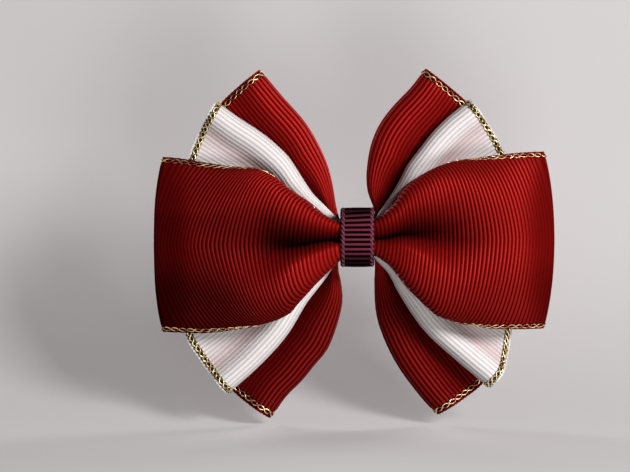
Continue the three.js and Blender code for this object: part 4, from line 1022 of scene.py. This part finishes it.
def sweep():
    floor, back, front, w, R = -43.0, 60.0, -500.0, 700.0, 70.0
    prof = [[front, floor]] + [[back - R + R * math.sin(t), floor + R - R * math.cos(t)] for t in np.linspace(0, math.pi / 2, 24)] + [[back, 500.0]]
    prof = np.array(prof)
    P = np.zeros((len(prof), 2, 3))
    P[:, 0] = np.column_stack([np.full(len(prof), -w), prof])
    P[:, 1] = np.column_stack([np.full(len(prof), w), prof])
    me = bpy.data.meshes.new("backdrop")
    me.from_pydata([tuple(v) for v in P.reshape(-1, 3) * MM], [], [tuple(int(i) for i in f) for f in grid_faces(len(prof), 2, flip=True)])
    for q in me.polygons:
        q.use_smooth = True
    me.materials.append(stage_material())
    ob = bpy.data.objects.new("backdrop", me)
    bpy.context.scene.collection.objects.link(ob)
    ob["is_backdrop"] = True
    ob.visible_diffuse = False          # the sheet lights nothing by itself; the panels and the world do
    ob.visible_shadow = False
    return ob


def area(name, loc, target, size, power, color=(1, 1, 1)):
    L = bpy.data.lights.new(name, "AREA")
    L.shape = "RECTANGLE"
    L.size, L.size_y = size[0] * MM, size[1] * MM
    L.energy = power
    L.color = color
    ob = bpy.data.objects.new(name, L)
    bpy.context.scene.collection.objects.link(ob)
    from mathutils import Vector
    d = Vector([(t - l) * MM for t, l in zip(target, loc)])
    ob.location = [v * MM for v in loc]
    ob.rotation_euler = d.to_track_quat("-Z", "Y").to_euler()
    return ob


sweep()
area("key_softbox", (400, -520, 270), (0, -10, 0), (220, 220), 3.4)
area("fill_panel", (150, -660, -230), (0, -10, 0), (300, 260), 1.65)
area("rear_panel_right", (430, 400, 200), (0, 0, 0), (260, 260), 1.3)
area("rear_panel_left", (-380, 470, 260), (0, 0, 0), (260, 260), 0.9)
world = bpy.data.worlds.new("studio")
bpy.context.scene.world = world
world.use_nodes = True
wt = world.node_tree
sky, lit = wt.nodes["Background"], wt.nodes.new("ShaderNodeLightPath")
sky.inputs[0].default_value = (1.0, 0.985, 0.98, 1)
level = wt.nodes.new("ShaderNodeMapRange")          # a pale surround for the eye, a dim one for the light
wt.links.new(lit.outputs["Is Camera Ray"], level.inputs[0])
level.inputs[3].default_value, level.inputs[4].default_value = 0.06, 0.6
wt.links.new(level.outputs[0], sky.inputs[1])

cam = bpy.data.cameras.new("camera")
cam.lens, cam.sensor_width, cam.clip_start, cam.clip_end = 178.0, 36.0, 0.01, 20.0
co = bpy.data.objects.new("camera", cam)
bpy.context.scene.collection.objects.link(co)
tgt = np.array([-9.55, -15.0, 0.67])
el = math.radians(2.0)
loc = tgt + 700.0 * np.array([0, -math.cos(el), math.sin(el)])
co.location = loc * MM
co.rotation_euler = (math.pi / 2 - el, 0, 0)
bpy.context.scene.camera = co
bpy.context.scene.view_settings.view_transform = "Standard"
bpy.context.scene.view_settings.look = "Medium High Contrast"

NEW_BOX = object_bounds()
as_list = lambda b: [[float(v) for v in c] for c in b]
{"cad_box_m": as_list(CAD_BOX), "visual_box_m": as_list(NEW_BOX)}
